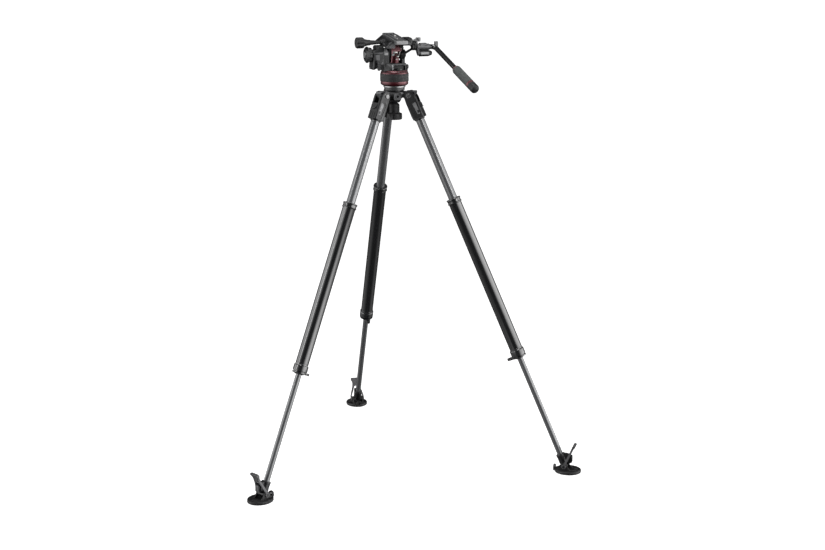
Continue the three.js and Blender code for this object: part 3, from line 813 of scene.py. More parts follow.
def angle_latch():
    face = KNUCKLE["outer"] + 0.3
    plate = slab("x", rectangle(0, -41, 16, 14, 3), face, face + 3.2)
    stem = block((17.3, face + 1), (-3, 3), (-44, -38))
    ridges = [slab("x", rectangle(0, z, 13, 1.4, 0.6), face + 2, face + 4.4) for z in (-37, -39.5, -42)]
    lip = slab("y", [(face + 1, -48), (face + 5.6, -48.3, 1), (face + 5.4, -45.6, 1), (face + 1, -44)], -7, 7)
    return join(plate, stem, lip, *ridges)


def upper_tube():
    tube = lathe([
        (UPPER["bore"], -UPPER["end"]), (UPPER["radius"] - 0.3, -UPPER["end"]),
        (UPPER["radius"], -UPPER["end"] + 0.3), (UPPER["radius"], -UPPER["start"]),
        (UPPER["bore"], -UPPER["start"]),
    ], 96)
    wrap_uv(tube, 6, 3)
    return tube


def lower_tube():
    tube = lathe([
        (LOWER["bore"], -LOWER["end"]), (LOWER["radius"], -LOWER["end"]),
        (LOWER["radius"], -LOWER["start"]), (LOWER["bore"], -LOWER["start"]),
    ], 72)
    wrap_uv(tube, 6, 3)
    return tube


def lock_sleeve():
    radius, collar, gland = SLEEVE["radius"], SLEEVE["collar"], SLEEVE["gland"]
    top, bottom = -SLEEVE["start"], -SLEEVE["end"]
    neck = COLLAR["bore"] + 0.3
    return lathe([
        (gland, top), (22.6, top), (23.6, top - 0.6), (collar, top - 1.6), (collar, top - 3.6),
        (23.4, top - 4.4), (22.5, top - 5), (22.2, top - 9), (22.5, top - 13), (23.4, top - 13.6),
        (collar, top - 14.2), (collar, top - 15.4), (23.2, top - 16.4), (21.9, top - 17),
        (radius, top - 18.5), (radius, bottom + 6), (radius - 0.4, bottom + 5.6),
        (radius - 0.4, bottom + 4.6), (radius, bottom + 4.2), (radius, bottom), (neck, bottom),
        (neck, bottom + 14), (19, bottom + 16), (19, top - 19.5), (gland, top - 17.5),
    ], 96)


def lower_collar():
    start, end, bore, eyelet = -COLLAR["start"], -COLLAR["end"], COLLAR["bore"], COLLAR["eyelet"]
    ring = lathe([
        (bore, end), (14, end), (16, end + 1.5), (22.5, end + 3), (23.6, end + 4), (23.6, end + 7.4),
        (20.5, end + 8.2), (20.5, end + 9.8), (23.2, end + 10.6), (24, end + 12), (24, start - 2.4),
        (23.4, start - 1.2), (22.4, start), (bore, start),
    ], 96)
    lug = slab("z", [
        (-18, -9), (-18, 9), (-28, 8.5, 4), (-eyelet - 8, 5, 4), (-eyelet - 8, -5, 4), (-28, -8.5, 4),
    ], end + 2, end + 10)
    body = join(ring, lug)
    hole = rod("z", 3.6, end - 1, end + 12, -eyelet, 0)
    return cut(body, hole, rod("z", bore, end - 1, start + 1, sides=96))


def foot_tip():
    open_end = ANKLE_DISTANCE - LOWER["end"] - 0.3
    socket = lathe([
        (0, 3), (11.5, 3), (14, 9), (14, 31), (14.8, 33), (14.8, 38.6), (13.8, 40), (0, 40),
    ], 72)
    socket = turned_by(socket, -SPLAY, "Y")
    wing = slab("y", [(-6, 30), (-3, 40), (7, 40, 3), (25, 33, 4), (25, 11, 4), (8, 2), (-6, 2)], -7, 7)
    windows = slab_pair([(11, 30, 2), (20.5, 29, 2), (20.5, 15, 2), (12, 12, 2)], 3.5, 8)
    eye = bevelled_rod("y", 11, -14.5, 14.5)
    pin = bevelled_rod("y", 4, -26, 26, edge=0.6, sides=40)
    body = cut(join(socket, wing, eye, pin), *windows)
    bore = turned_by(rod("z", LOWER["radius"] + 0.3, open_end, 70, sides=72), -SPLAY, "Y")
    slot = turned_by(slab("x", rectangle(0, 34, 2.2, 18, 1), -20, 0), -SPLAY, "Y")
    return cut(body, bore, slot)


def dished_oval(x, sizes, sides=72):
    """A closed oval stack: each size is (half length, half width, height), from bottom to top."""
    turns = [2 * math.pi * k / sides for k in range(sides)]
    return skin([
        [(x + half_length * math.cos(a), half_width * math.sin(a), height) for a in turns]
        for half_length, half_width, height in sizes
    ])


def shoe():
    floor, top = -ANKLE_HEIGHT, -ANKLE_HEIGHT + 11
    x, length, width = 10.7, 44, 39
    pad = dished_oval(x, [
        (length - 3, width - 3, floor), (length - 1, width - 1, floor + 1.2), (length, width, floor + 3),
        (length, width, floor + 4.6), (length - 0.8, width - 0.8, floor + 5),
        (length - 0.8, width - 0.8, floor + 5.8), (length, width, floor + 6.2),
        (length, width, top - 2.2), (length - 1, width - 1, top - 0.6), (length - 2.6, width - 2.6, top),
        (length - 5.5, width - 5.5, top), (length - 7, width - 7, top - 1.6),
    ])
    cheek = [
        (-24, top - 2), (22, top - 2), (12.5, -3, 5), (9.5, 4), *arc(10, (0, 0), 25, 155, 10), (-9.5, 4),
        (-14, -4, 6),
    ]
    cheeks = [slab("y", cheek, side - 2.5, side + 2.5) for side in (-18, 18)]
    collars = [rod("y", 7.5, *side) for side in ((-20.9, -19), (19, 20.9))]
    loop = cut(slab("x", rectangle(0, -11.5, 20, 21, 8), -37.5, -31), rod("x", 5, -40, -20, 0, -9))
    ribs = [
        beam((26, y, top - 1.2), (44.5, y * 1.35, top - 1.2), 2.2, 4.6, 0.8) for y in (-13, -4.5, 4.5, 13)
    ]
    braces = [beam((-14, y, top - 1), (-26, y * 0.55, top - 1), 2.2, 4.2, 0.8) for y in (-15, 15)]
    body = join(pad, loop, *cheeks, *collars, *ribs, *braces)
    treads = [block((-40, 60), (y - 0.9, y + 0.9), (floor - 1, floor + 0.9)) for y in range(-28, 29, 8)]
    return cut(body, rod("y", 4.6, -30, 30), *treads)


def shoe_lever():
    """The yoke-shaped clip: two arms from the ankle pin meet in a leaf with a flared tip."""
    half_outer = [(25, 0), (25, 12, 10), (14.5, 46, 14), (12.6, 62, 8), (17, 72, 3), (17, 79, 2.5)]
    outer = mirrored(half_outer)
    half_opening = [(21.2, -4), (21.2, 10, 10), (11, 38, 10), (6.5, 49, 7)]
    opening = mirrored(half_opening)
    leaf = cut(slab("x", outer, -3.6, 3.6), slab("x", opening, -5, 5))
    dish = along("x", lathe([(0, 1.4), (9, 3.2), (9, 6), (0, 6)], 48), 0, 66)
    leaf = cut(leaf, dish)
    lip = slab("y", [(-4, 70), (4, 70), (5.6, 75, 1.5), (5.6, 80, 1.4), (-1.5, 80, 1.4), (-4, 76)], -17, 17)
    hubs = [bevelled_rod("y", 8, *side) for side in ((21.2, 25), (-25, -21.2))]
    bore = rod("y", 4.5, -30, 30)
    return turned_by(cut(join(leaf, lip, *hubs), bore), LEVER_LEAN, "Y")


def add_leg(leg):
    here, foot = leg_frame(leg), foot_frame(leg)

    def put(made, name, body, slot, matrix, node, edge):
        finish_piece(made, name, f"{body}_{leg}", slot, matrix, [f"{node}_{leg}"], edge)

    put(knuckle(), f"knuckle_{leg}", "leg", "cast_black", here, "leg_knuckle", 0.7)
    for side, word in ((-1, "a"), (1, "b")):
        name = f"knuckle_panel_{leg}_{word}"
        finish_piece(knuckle_panel(side), name, f"leg_{leg}", "graphite", here, (), 0.25)
    put(hinge_bolt(), f"bolt_{leg}", "leg", "dark_steel", here, "hinge_bolt", 0.2)
    put(angle_latch(), f"latch_button_{leg}", "latch", "cast_black", here, "angle_latch", 0.3)
    put(upper_tube(), f"tube_upper_{leg}", "leg", "carbon_tube", here, "upper_tube", 0)
    put(lock_sleeve(), f"sleeve_{leg}_shell", "sleeve", "gloss_tube", here, "lock_sleeve", 0)
    put(lower_collar(), f"collar_{leg}", "carrier", "gloss_tube", here, "lower_collar", 0.4)
    put(lower_tube(), f"tube_lower_{leg}", "stage", "carbon_tube", here, "lower_tube", 0)
    put(foot_tip(), f"foot_{leg}", "stage", "cast_black", foot, "foot_tip", 0.5)
    put(shoe(), f"pad_{leg}_shoe", "pad", "rubber_black", foot, "shoe", 0.4)
    put(shoe_lever(), f"clip_{leg}_yoke", "clip", "cast_black", foot, "shoe_lever", 0.8)


# ---------------------------------------------------------------- drum, pan frame and housing

GAP = 0.3
DRUM = {
    "radius": half_width("pan_drag_ring"),
    "ring": half_width("upper_ring"),
    "bottom": floor_height("lower_ring"),
    "drag": floor_height("pan_drag_ring"),
    "upper": floor_height("upper_ring"),
    "cap": top_height("upper_ring") + GAP,
    "top": floor_height("bubble_level") - GAP,
}
UPRIGHT = {"inner": 25, "left": 42, "right": 34.5, "half": 21, "hub": 14}
DECK_TOP = TILT_HEIGHT - 29
PAN_LOCK = {"y": 14, "z": TILT_HEIGHT - 43}
BUTTON = {"x": -33.5, "z": TILT_HEIGHT + 4}
LEVEL = {"x": 8, "y": -31, "z": DRUM["top"] + GAP}
BARREL = {"y": -17.4, "z": TILT_HEIGHT + 6.6}
TILT_LOCK = {"x": -64, "y": -27.3, "z": TILT_HEIGHT - 22}
ARM = {"inner": 17.8, "outer": 24}
PLATE = {"length": 140, "width": 43, "bottom": 45.3, "top": 56}


def lower_ring():
    low, high, radius = DRUM["bottom"], DRUM["drag"] - 0.3, DRUM["ring"]
    return lathe([
        (0, low), (40, low), (radius - 0.6, low + 3.4), (radius, low + 4.4), (radius, low + 7),
        (radius - 0.5, low + 7.3), (radius - 0.5, low + 7.9), (radius, low + 8.2), (radius, high - 0.5),
        (radius - 0.5, high), (0, high),
    ], 128)


def upper_ring():
    """The red rim of the turntable and the cone above it."""
    low, high, top, radius = DRUM["upper"], DRUM["cap"] - 0.3, DRUM["top"], DRUM["ring"]
    return lathe([
        (33.8, low), (radius - 0.4, low), (radius, low + 0.4), (radius, high - 0.5), (radius - 0.5, high),
        (44.6, high + 0.3), (40, top - 1.2), (39, top - 1.2), (39, high), (33.8, high),
    ], 128)


def drag_ring():
    """A ribbed rubber band between two plain edges."""
    low, high, radius = DRUM["drag"], DRUM["upper"] - 0.3, DRUM["radius"]
    ribs, rib_depth, plain_edge = 60, 0.55, 2.4
    ribbed = knurl(ribs, rib_depth)

    def ripple(reach, height, angle):
        on_band = low + plain_edge < height < high - plain_edge
        return ribbed(reach, height, angle) if on_band else reach

    middle = (low + high) / 2
    return lathe([
        (36, low), (radius - 0.6, low), (radius, low + 0.6), (radius, low + 1.8),
        (radius - 0.7, low + 2.3), (radius - 0.1, low + 2.9), (radius - 0.1, middle - 1),
        (radius - 0.8, middle - 0.6), (radius - 0.8, middle + 0.6), (radius - 0.1, middle + 1),
        (radius - 0.1, high - 2.9), (radius - 0.7, high - 2.3), (radius, high - 1.8),
        (radius, high - 0.6), (radius - 0.6, high), (36, high),
    ], ribs * 8, ripple)


def pan_frame():
    inner, left, right = UPRIGHT["inner"], UPRIGHT["left"], UPRIGHT["right"]
    half, hub, axis = UPRIGHT["half"], UPRIGHT["hub"], TILT_HEIGHT
    cap = lathe([
        (0, DRUM["drag"] + GAP), (33.5, DRUM["drag"] + GAP), (33.5, DRUM["cap"]), (38.8, DRUM["cap"]),
        (38.8, DRUM["top"] - 0.6), (38.2, DRUM["top"]), (0, DRUM["top"]),
    ], 128)
    footprint = rectangle((right - left) / 2, 0, left + right, 2 * half + 4, 7)
    deck = slab("z", footprint, DRUM["top"] - 2, DECK_TOP)
    left_upright = slab("x", [
        (-half - 3, axis - 51), (half + 3, axis - 51), (half, axis - 27, 12),
        *arc(half, (0, axis), 0, 180, 24), (-half, axis - 27, 12),
    ], -left, -inner)
    right_upright = slab("x", [
        (-5, axis - 51), (half, axis - 51), (half, axis - 22, 10), *arc(hub, (0, axis), 0, 225, 20),
        (-5, axis - 14, 6),
    ], inner, right)
    wall = slab("y", mirrored([
        (25.5, axis - 32), (25.5, axis - 22, 2), (17, axis - 21, 1), (17, axis - 10, 3),
    ]), 16.2, 20)
    bay = slab("x", [
        (-half - 4, axis - 56), (-14, axis - 56), (-14, axis - 35, 4), (-half - 4, axis - 35),
    ], -12, 30)
    return cut(
        join(cap, deck, left_upright, right_upright, wall),
        rod("x", 8.6, -left - 1, -inner + 1, 0, axis),
        rod("x", 7.6, inner - 1, right + 1, 0, axis),
        rod("x", 3.5, right - 8, right + 1, PAN_LOCK["y"], PAN_LOCK["z"]),
        rod("y", 6.2, -half - 1, -half + 3, BUTTON["x"], BUTTON["z"]),
        rod("z", 16.4, DECK_TOP - 1, DECK_TOP + 7),
        slab("y", rectangle(BUTTON["x"], axis - 23, 9, 14, 2), -half - 1, -half + 0.9),
        bay,
    )


def scale_ticks():
    """A degree scale on the sloping edge of the turntable."""
    ticks = []
    for k in range(72):
        long_tick = k % 6 == 0
        reach = 3.6 if long_tick else 2.2
        foot = Vector((44, 0, DRUM["cap"] + 0.8))
        rise = Vector((-4, 0, DRUM["top"] - DRUM["cap"] - 1.2)).normalized()
        tick = beam(foot, foot + rise * reach, 0.45, 0.5, 0)
        ticks.append(turned_by(tick, 5 * k, "Z"))
    return merged(ticks)


def merged(parts):
    """Loose parts as one object, without a boolean."""
    vertices, faces = [], []
    for part in parts:
        first = len(vertices)
        vertices += [v.co.copy() for v in part.data.vertices]
        faces += [[first + v for v in polygon.vertices] for polygon in part.data.polygons]
    discard(*parts)
    return shape(vertices, faces)


def front_post():
    """The bright index post between the left upright and the level."""
    axis = TILT_HEIGHT
    front = -UPRIGHT["half"]
    outline = [(-17.6, axis - 48, 1), (-12.8, axis - 48, 1), (-12.8, axis - 32, 1.6), (-17.6, axis - 32, 1.6)]
    foot = shifted(round_ball(3), -15.2, front - 5.6, axis - 46)
    return join(slab("y", outline, front - 5, front + 2), foot)


def frame_button():
    """A ring with a dark centre on the front of the left upright."""
    front = -UPRIGHT["half"]
    ring = lathe([(3.4, 0), (5.8, 0), (5.8, 1.4), (5.2, 2), (4, 2), (3.4, 1.4)], 48)
    return set_at(ring, (BUTTON["x"], front + 1.4, BUTTON["z"]), 90)


def front_screws():
    axis = TILT_HEIGHT
    front = -UPRIGHT["half"]
    low_row = axis - 32.2
    spots = [(BUTTON["x"], front + 0.3, axis - 23), (-5, front - 1.7, low_row), (20, front - 1.7, low_row)]
    return merged([set_at(socket_screw(2.2, 1.2), spot, 90) for spot in spots])


def bubble_level():
    ring = lathe([
        (0, 0), (6.1, 0), (6.5, 0.4), (6.5, 4.2), (6.1, 4.8), (5.2, 4.8), (4.9, 4.2), (4.9, 2), (0, 2),
    ], 48)
    return shifted(ring, **LEVEL)


def level_vial():
    dome = lathe([(0, 1.9), (4.85, 1.9), (4.85, 3.9), (4, 4.4), (2.4, 4.8), (0, 5)], 40)
    return shifted(dome, **LEVEL)


def side_housing():
    face, outer, axis = -UPRIGHT["left"] - 0.3, -79, TILT_HEIGHT
    side = [(22, axis - 47, 4), (27, axis - 27, 9), (26, axis + 4, 7), (17, axis + 16, 6)]
    body = common(
        slab("x", mirrored(side), outer, face),
        slab("z", rectangle((face + outer) / 2, 0, face - outer, 54, 8), axis - 52, axis + 28),
    )
    hump = slab("x", [(-24, axis), (24, axis), *arc(30.5, (0, axis), 52, 128, 16)], -67, face)
    arch = rod("y", 40, -40, 40, -57, axis - 82, 128)
    seam = cut(
        slab("x", rectangle(0, axis - 16, 70, 90, 10), -62.6, -61.8),
        slab("x", rectangle(0, axis - 16, 52.4, 62.4, 10), -63, -61),
    )
    return cut(
        join(body, hump),
        arch,
        seam,
        rod("x", 8.6, -62, face + 1, 0, axis),
        rod("x", 5.6, -80, -73, 0, axis),
        rod("x", 24, -80, -78.2, 0, axis, 96),
        slab("y", rectangle(-52, axis - 32, 12, 20, 3), -30, -26.2),
        slab("y", rectangle(-52, axis - 3, 12, 22, 3), -30, -25.6),
        rod("x", 3, -68, -64, 20, axis + 18),
    )


def housing_screws():
    axis = TILT_HEIGHT
    spots = [(-18, axis - 38), (18, axis - 38), (-19.5, axis + 6), (19.5, axis + 6)]
    corners = [set_at(socket_screw(2.4, 1.8), (-78.6, y, z), -90, "Y") for y, z in spots]
    hump = set_at(socket_screw(2.8, 1.8), (-66.6, 0, axis + 24), -90, "Y")
    return merged([*corners, hump])


def lobed(lobes, depth):
    """Round finger scallops for a knob's rim."""
    def ripple(radius, height, angle):
        return radius - depth * abs(math.cos(lobes * angle / 2)) ** 3 if radius > 15 else radius
    return ripple


def tilt_drag_dial():
    profile = [
        (5.8, -90.6), (22.7, -90.6), (23.5, -89.8), (23.5, -81.6), (22.7, -80.2), (20.9, -79.3),
        (5.8, -79.3),
    ]
    return along("x", lathe(profile, 192, lobed(12, 1.5)), 0, TILT_HEIGHT)


def balance_dial():
    profile = [
        (0, -97.2), (16.6, -97.2), (17.4, -98.4), (18.2, -99.6), (20, -100), (22, -99), (24.4, -97.2),
        (26.4, -95), (26.4, -91.6), (25.6, -91), (5, -91), (5, -74.5), (4.5, -74), (0, -74),
    ]
    return along("x", lathe(profile, 192, lobed(24, 0.5)), 0, TILT_HEIGHT)


def dial_cap():
    """The pale ring round the dark centre of the dial's face."""
    ring = lathe([(4.4, -97), (10.2, -97), (10.2, -101.6), (8.8, -103.4), (5.6, -103.4), (4.4, -102.2)], 64)
    notch = block((-105, -101), (-1.4, 1.4), (TILT_HEIGHT + 3, TILT_HEIGHT + 12))
    return cut(along("x", ring, 0, TILT_HEIGHT), notch)


def tilt_lock_lever():
    x, y, z = TILT_LOCK["x"], TILT_LOCK["y"], TILT_LOCK["z"]
    hub = along("y", lathe([(0, y - 9), (5.6, y - 9), (6.5, y - 8), (6.5, y), (0, y)], 48), x, z)
    outline = mirrored([(x + 5, z), (x + 4.4, z - 22, 4), (x + 3.6, z - 27, 3)], x)
    arm = slab("y", outline, y - 8.6, y - 4)
    grips = [rod("x", 0.9, x - 6, x + 6, y - 8.9, z - 13 - 3 * k, 16) for k in range(4)]
    socket = rod("y", 2.6, y - 10, y - 8, x, z, 6)
    return cut(join(hub, arm), *grips, socket)


def pan_lock_knob():
    axis = TILT_HEIGHT
    y, z = PAN_LOCK["y"], PAN_LOCK["z"]
    face = UPRIGHT["right"] + GAP
    stem = rod("x", 3, face - 6, face + 3, y, z)
    profile = [(0, face + 1), (6.6, face + 1), (7.5, face + 2), (7.5, 50.8), (6.6, 52), (0, 52)]
    knob = along("x", lathe(profile, 96, knurl(18, 0.4)), y, z)
    wing = slab("y", [
        (45.5, axis - 42, 1), (50.5, axis - 42, 1), (50.2, axis - 58, 2), (46, axis - 58, 2),
    ], 11.8, 16.2)
    return join(stem, knob, wing)


def piston_cylinder():
    axis = TILT_HEIGHT
    low, high, radius = axis - 28.7, axis + 13, 15
    body = lathe([
        (0, low), (radius - 0.6, low), (radius, low + 0.6), (radius, low + 4), (radius - 0.8, low + 4.4),
        (radius - 0.8, low + 5.6), (radius, low + 6), (radius, high - 14), (radius - 0.8, high - 13.6),
        (radius - 0.8, high - 12.4), (radius, high - 12), (radius, high - 3), (radius - 2, high),
        (0, high),
    ], 96)
    return cut(body, rod("z", 5.6, low + 2, high + 1), block((-16, 16), (-7, 7), (high - 7, high + 1)))


def piston_rod():
    axis = TILT_HEIGHT
    pin = axis + 21
    head = bevelled_rod("x", 6, -6, 6, 0, pin, 0.8)
    return join(rod("z", 5, axis - 17, pin), head)


def piston_link():
    """Bright adjusting hardware in front of the piston: a barrel, two ball nuts and a bent arm."""
    axis = TILT_HEIGHT
    y, z = BARREL["y"], BARREL["z"]
    barrel = bevelled_rod("x", 5.4, -10, 4.6, y, z, 1)
    grooves = [
        cut(rod("x", 7, x, x + 0.9, y, z), rod("x", 4.7, x - 1, x + 2, y, z))
        for x in (-6.4, -3.2, 0)
    ]
    nut = (4.4, -19, axis - 6.4)
    balls = [shifted(round_ball(4.4), *nut), shifted(round_ball(2.8), 0.6, -18, axis - 15.5)]
    path = [
        nut, (9, -20.4, axis - 0.4), (12.6, -20.8, axis + 9), (15.6, -20.6, axis + 14),
        (15.8, -20, axis + 19.6),
    ]
    arms = [beam(a, b, 2.6, 2, 0.6) for a, b in zip(path, path[1:])]
    return join(cut(barrel, *grooves), *balls, *arms)


def red_saddle():
    """The curved red shell in front of the piston, round the tilt axis."""
    axis = TILT_HEIGHT
    outer = arc(29.2, (0, axis), 112, 158, 12)
    inner = arc(25.4, (0, axis), 158, 112, 12)
    shell = slab("x", outer + inner, -17.2, 15)
    apron = slab("x", [
        (-26.4, axis + 10), (-23.4, axis + 10), (-15.4, axis - 26), (-17.6, axis - 26),
    ], -17.2, -14)
    return join(shell, apron)


def guard_plate():
    """The grey guide plate beside the bright hardware."""
    axis = TILT_HEIGHT
    front = -UPRIGHT["half"] - 3.6
    plate = slab("y", rectangle(-12.4, axis + 4, 9.6, 16, 2), front, front + 7)
    return cut(plate, rod("y", 2.2, front - 1, front + 2, -13.6, axis + 5))


def upright_highlight_strip():
    """A pale strip that follows the hub of the left upright, as a painted highlight on its curve."""
    reach, centre = UPRIGHT["half"], (0, TILT_HEIGHT)
    outline = arc(reach + 1.2, centre, 118, 184, 14) + arc(reach - 1, centre, 184, 118, 14)
    return slab("x", outline, -UPRIGHT["left"] + 0.8, -UPRIGHT["inner"] - 5)


def round_ball(radius, sides=24):
    return lathe([(0, -radius), *arc(radius, (0, 0), -75, 75, 10), (0, radius)], sides)


def tilt_axle_left():
    return bevelled_rod("x", 8, -60, -ARM["inner"], edge=0.6)


def tilt_axle_right():
    shank = rod("x", 7, ARM["inner"], 35.5)
    cap = along("x", lathe([(0, 35), (10, 35), (10, 36.7), (9.2, 37.5), (0, 37.5)], 64))
    return cut(join(shank, cap), rod("x", 3.6, 35.8, 40, sides=6))


# ---------------------------------------------------------------- tilting platform

# The platform's sloping flanks run from their foot (x, height) up to the edge of its top.
FLANK = {"foot": 47, "low": 36, "edge": 26, "high": 53}
FLANK["x"] = (FLANK["foot"] + FLANK["edge"]) / 2
FLANK["slope"] = math.degrees(math.atan2(FLANK["high"] - FLANK["low"], FLANK["foot"] - FLANK["edge"]))
PLATE_LOCK_HEIGHT = 39.5
PAD_OFFSET = 14.2

def platform():
    foot, edge, low, high = FLANK["foot"], FLANK["edge"], FLANK["low"], FLANK["high"]
    section = mirrored([(foot, 30, 1.5), (foot, low, 1.5), (edge, high, 2)])
    channel = mirrored([(22.2, 45), (22.2, 48.6), (24.4, 50), (24.4, 55)])

    def arm(near, far):
        outline = [*arc(16, (0, 0), 180, 360, 20), (20, 22, 6), (20, 31), (-20, 31), (-20, 22, 6)]
        return slab("x", outline, near, far)

    ribs = [
        slab("y", [(-46, 34), (-44, 34), (-25, 50), (-27, 52)], y - 1.2, y + 1.2) for y in (-46, -24, 24, 46)
    ]
    catch = slab("x", [(-54, 44), (4, 44), (2, 54, 3), (-8, 57, 4), (-40, 59.5, 6), (-54, 57, 4)], 24, 42)
    catch = common(catch, slab("z", rectangle(33, -25, 18, 58, 5), 40, 62))
    body = join(
        slab("y", section, -55, 55),
        arm(-ARM["outer"], -ARM["inner"]),
        arm(ARM["inner"], ARM["outer"]),
        slab("z", rectangle(54, 5, 18, 18, 6), 32, 39),
        rod("x", 9.5, -49.5, -34, 0, PLATE_LOCK_HEIGHT),
        *ribs,
        catch,
    )
    windows = []
    for side in (-1, 1):
        for y in (-36, 36):
            window = slab("z", rectangle(0, y, 11, 22, 3), -1.2, 4)
            windows.append(set_at(window, (side * FLANK["x"], 0, 44.5), side * FLANK["slope"], "Y"))
    under = slab("x", [(-60, 26), (-14, 26), (-18, 30, 4), (-57, 41.5)], -17, 44)
    ends = [slab("y", rectangle(x, 37.5, 14, 7, 1.5), 53.8, 56) for x in (-12, 12)]
    belly = slab("z", rectangle(0, 38, 30, 24, 4), 29, 32)
    return cut(
        body,
        slab("y", channel, -56, 56),
        rod("x", 8.3, -ARM["outer"] - 1, -ARM["inner"] + 1),
        rod("x", 7.3, ARM["inner"] - 1, ARM["outer"] + 1),
        rod("x", 6, -50, -30, 0, PLATE_LOCK_HEIGHT),
        rod("z", 3, 31, 40, 54, 5),
        under, belly, *windows, *ends,
    )


def platform_screws():
    screws = []
    for side in (-1, 1):
        for y in (-50, -17, 17, 50):
            if side < 0 and abs(y) < 20:
                continue
            screws.append(set_at(
                socket_screw(2.6, 1.4), (side * FLANK["x"], y, 44.3), side * FLANK["slope"], "Y",
            ))
    return merged(screws)


def camera_plate():
    length, width, bottom, top = PLATE["length"], PLATE["width"], PLATE["bottom"], PLATE["top"]
    half = width / 2
    section = mirrored([(half, bottom, 0.4), (half, 48), (half - 1.6, 52), (half - 1.6, top, 1)])
    outline = rectangle(0, 0, width + 2, length, 5)
    body = common(slab("y", section, -length / 2, length / 2), slab("z", outline, bottom - 1, top + 1))
    recesses = [
        slab("z", rectangle(x, 0, 8.4, length - 16, 2), top - 0.7, top + 1) for x in (-PAD_OFFSET, PAD_OFFSET)
    ]
    return cut(
        body,
        rod("z", 3.7, bottom - 1, top + 1),
        rod("z", 8.4, bottom - 1, 50),
        slab("z", rectangle(0, 34, 7, 30, 3.4), bottom - 1, top + 1),
        slab("z", rectangle(0, -28, 9, 20, 4.4), top - 1.6, top + 1),
        *recesses,
    )


def plate_pads():
    """Ribbed rubber strips let into the top of the camera plate."""
    top, length = PLATE["top"], PLATE["length"]
    strips = []
    for x in (-PAD_OFFSET, PAD_OFFSET):
        strip = slab("z", rectangle(x, 0, 8, length - 16.4, 1.8), top - 0.8, top + 0.15)
        grooves = [
            block((x - 5, x + 5), (y - 0.5, y + 0.5), (top - 0.25, top + 1)) for y in range(-56, 57, 4)
        ]
        strips.append(cut(strip, *grooves))
    return merged(strips)


def screw_thread(radius, low, high, pitch=1.27, depth=0.35):
    rings = [(0, low)]
    count = int((high - low - 1) / pitch)
    for k in range(count):
        rings += [(radius, low + 0.4 + pitch * k), (radius - depth, low + 0.4 + pitch * (k + 0.5))]
    return rings + [(radius - 0.6, high), (0, high)]


def camera_screw():
    head = lathe([(0, 45.6), (7.2, 45.6), (7.8, 46.2), (7.8, 48.4), (7.2, 49), (0, 49)], 64, knurl(32, 0.3))
    slot = block((-8, 8), (-0.9, 0.9), (45, 46.6))
    return cut(join(head, lathe(screw_thread(3.1, 48, 61.5), 32)), slot)


def spare_screw():
    """A second, sunken camera screw at the operator's end of the plate."""
    head = socket_screw(4, 1.9)
    return shifted(head, 0, -22.5, PLATE["top"] - 1.7)


def plate_lock_knob():
    profile = [
        (0, -131), (8, -131), (9, -132), (14.6, -132), (17.2, -130.8), (18, -128.6), (18, -110.4),
        (17, -107.4), (14, -105), (11.4, -104), (11.6, -101), (10.2, -98.4), (10.4, -95.8), (9.2, -93),
        (9.2, -86), (8, -84.6), (6.9, -72), (6.1, -60), (5.6, -48), (5.6, -47), (6.4, -46.6),
        (6.4, -44.6), (5.4, -44), (5.4, -31), (0, -31),
    ]
    return along("x", lathe(profile, 192, lobed(8, 2.2)), 0, PLATE_LOCK_HEIGHT)


def release_lever():
    outline = [(46, 0, 3), (60, -4, 12), (84, -8, 6), (90, 2, 5), (84, 7, 3), (62, 13, 12), (48, 13, 4)]
    lever = slab("z", outline, 39.4, 43.4)
    tip = slab("z", [(74, -5.9, 2), (84, -8, 6), (90, 2, 5), (84, 7, 3), (74, 9.3, 2)], 40, 51)
    neck = slab("y", [(60, 41), (76, 41), (76, 50.4), (72, 48)], -3, 6)
    grooves = [block((x - 0.6, x + 0.6), (-10, 10), (50.2, 52)) for x in (77, 80, 83, 86)]
    pivot = lathe([(0, 32), (2.5, 32), (2.5, 43), (5.6, 43), (5.6, 44.2), (5, 44.8), (0, 44.8)], 40)
    return cut(join(lever, neck, tip, shifted(pivot, 54, 5)), *grooves)


def rosette_mount():
    y, z = -31.3, 32.1
    disc = along("x", lathe([
        (0, 47.3), (13.4, 47.3), (15, 48.6), (15, 50.6), (14, 51.2), (14, 52.4), (15, 53), (15, 58.4),
        (14.6, 59.7), (0, 59.7),
    ], 144, knurl(36, 0.5)), y, z)
    strut = beam((22, -26, 5), (52, y, z - 8), 7, 8, 2)
    foot = beam((21, -19.5, 1), (21, -29, 7), 6, 8, 1.5)
    return join(disc, strut, foot)


# ---------------------------------------------------------------- pan bar

ROSETTE = {"y": -35, "z": TILT_HEIGHT + 28}
WING = {"y": -55, "z": TILT_HEIGHT + 5, "radius": 10.5}
GRIP = {"start": 138, "end": 236, "radius": 14.5, "cap_end": 268.3}
BAR_RADIUS = 8


def bar_clamp():
    axis = TILT_HEIGHT
    corner = WORLD.inverted() @ BAR.translation
    plate = slab("x", [
        (-48, axis + 32, 3), (-63, axis + 6, 5), (-50, axis - 2.5, 5), (-28, axis + 20, 3),
    ], 60.2, 64.7)
    rim = [(0, 60.2), (13.6, 60.2), (14, 60.8), (14, 64.2), (13.4, 64.7), (0, 64.7)]
    teeth = along("x", lathe(rim, 144, knurl(36, 0.4)), ROSETTE["y"], ROSETTE["z"])
    lug = rod("x", 8, 60.2, 64.7, WING["y"], WING["z"])
    barrel = along("x", lathe([
        (0, 61), (10.5, 61), (10.5, 72), (10, 72.4), (10, 73.4), (10.5, 73.8), (10.5, 101), (9.4, 104),
        (0, 104),
    ], 72), corner.y, corner.z)
    saddle = slab("x", mirrored([(-34, axis + 20, 4), (-36, axis + 37, 5)], -45), 70, 92)
    return cut(
        join(plate, teeth, lug, barrel, saddle),
        rod("x", BAR_RADIUS + 0.3, 80, 105, corner.y, corner.z),
        rod("x", 4.4, 60, 66, WING["y"], WING["z"]),
        block((81, 93), (-57, -33), (axis + 29.2, axis + 30)),
    )


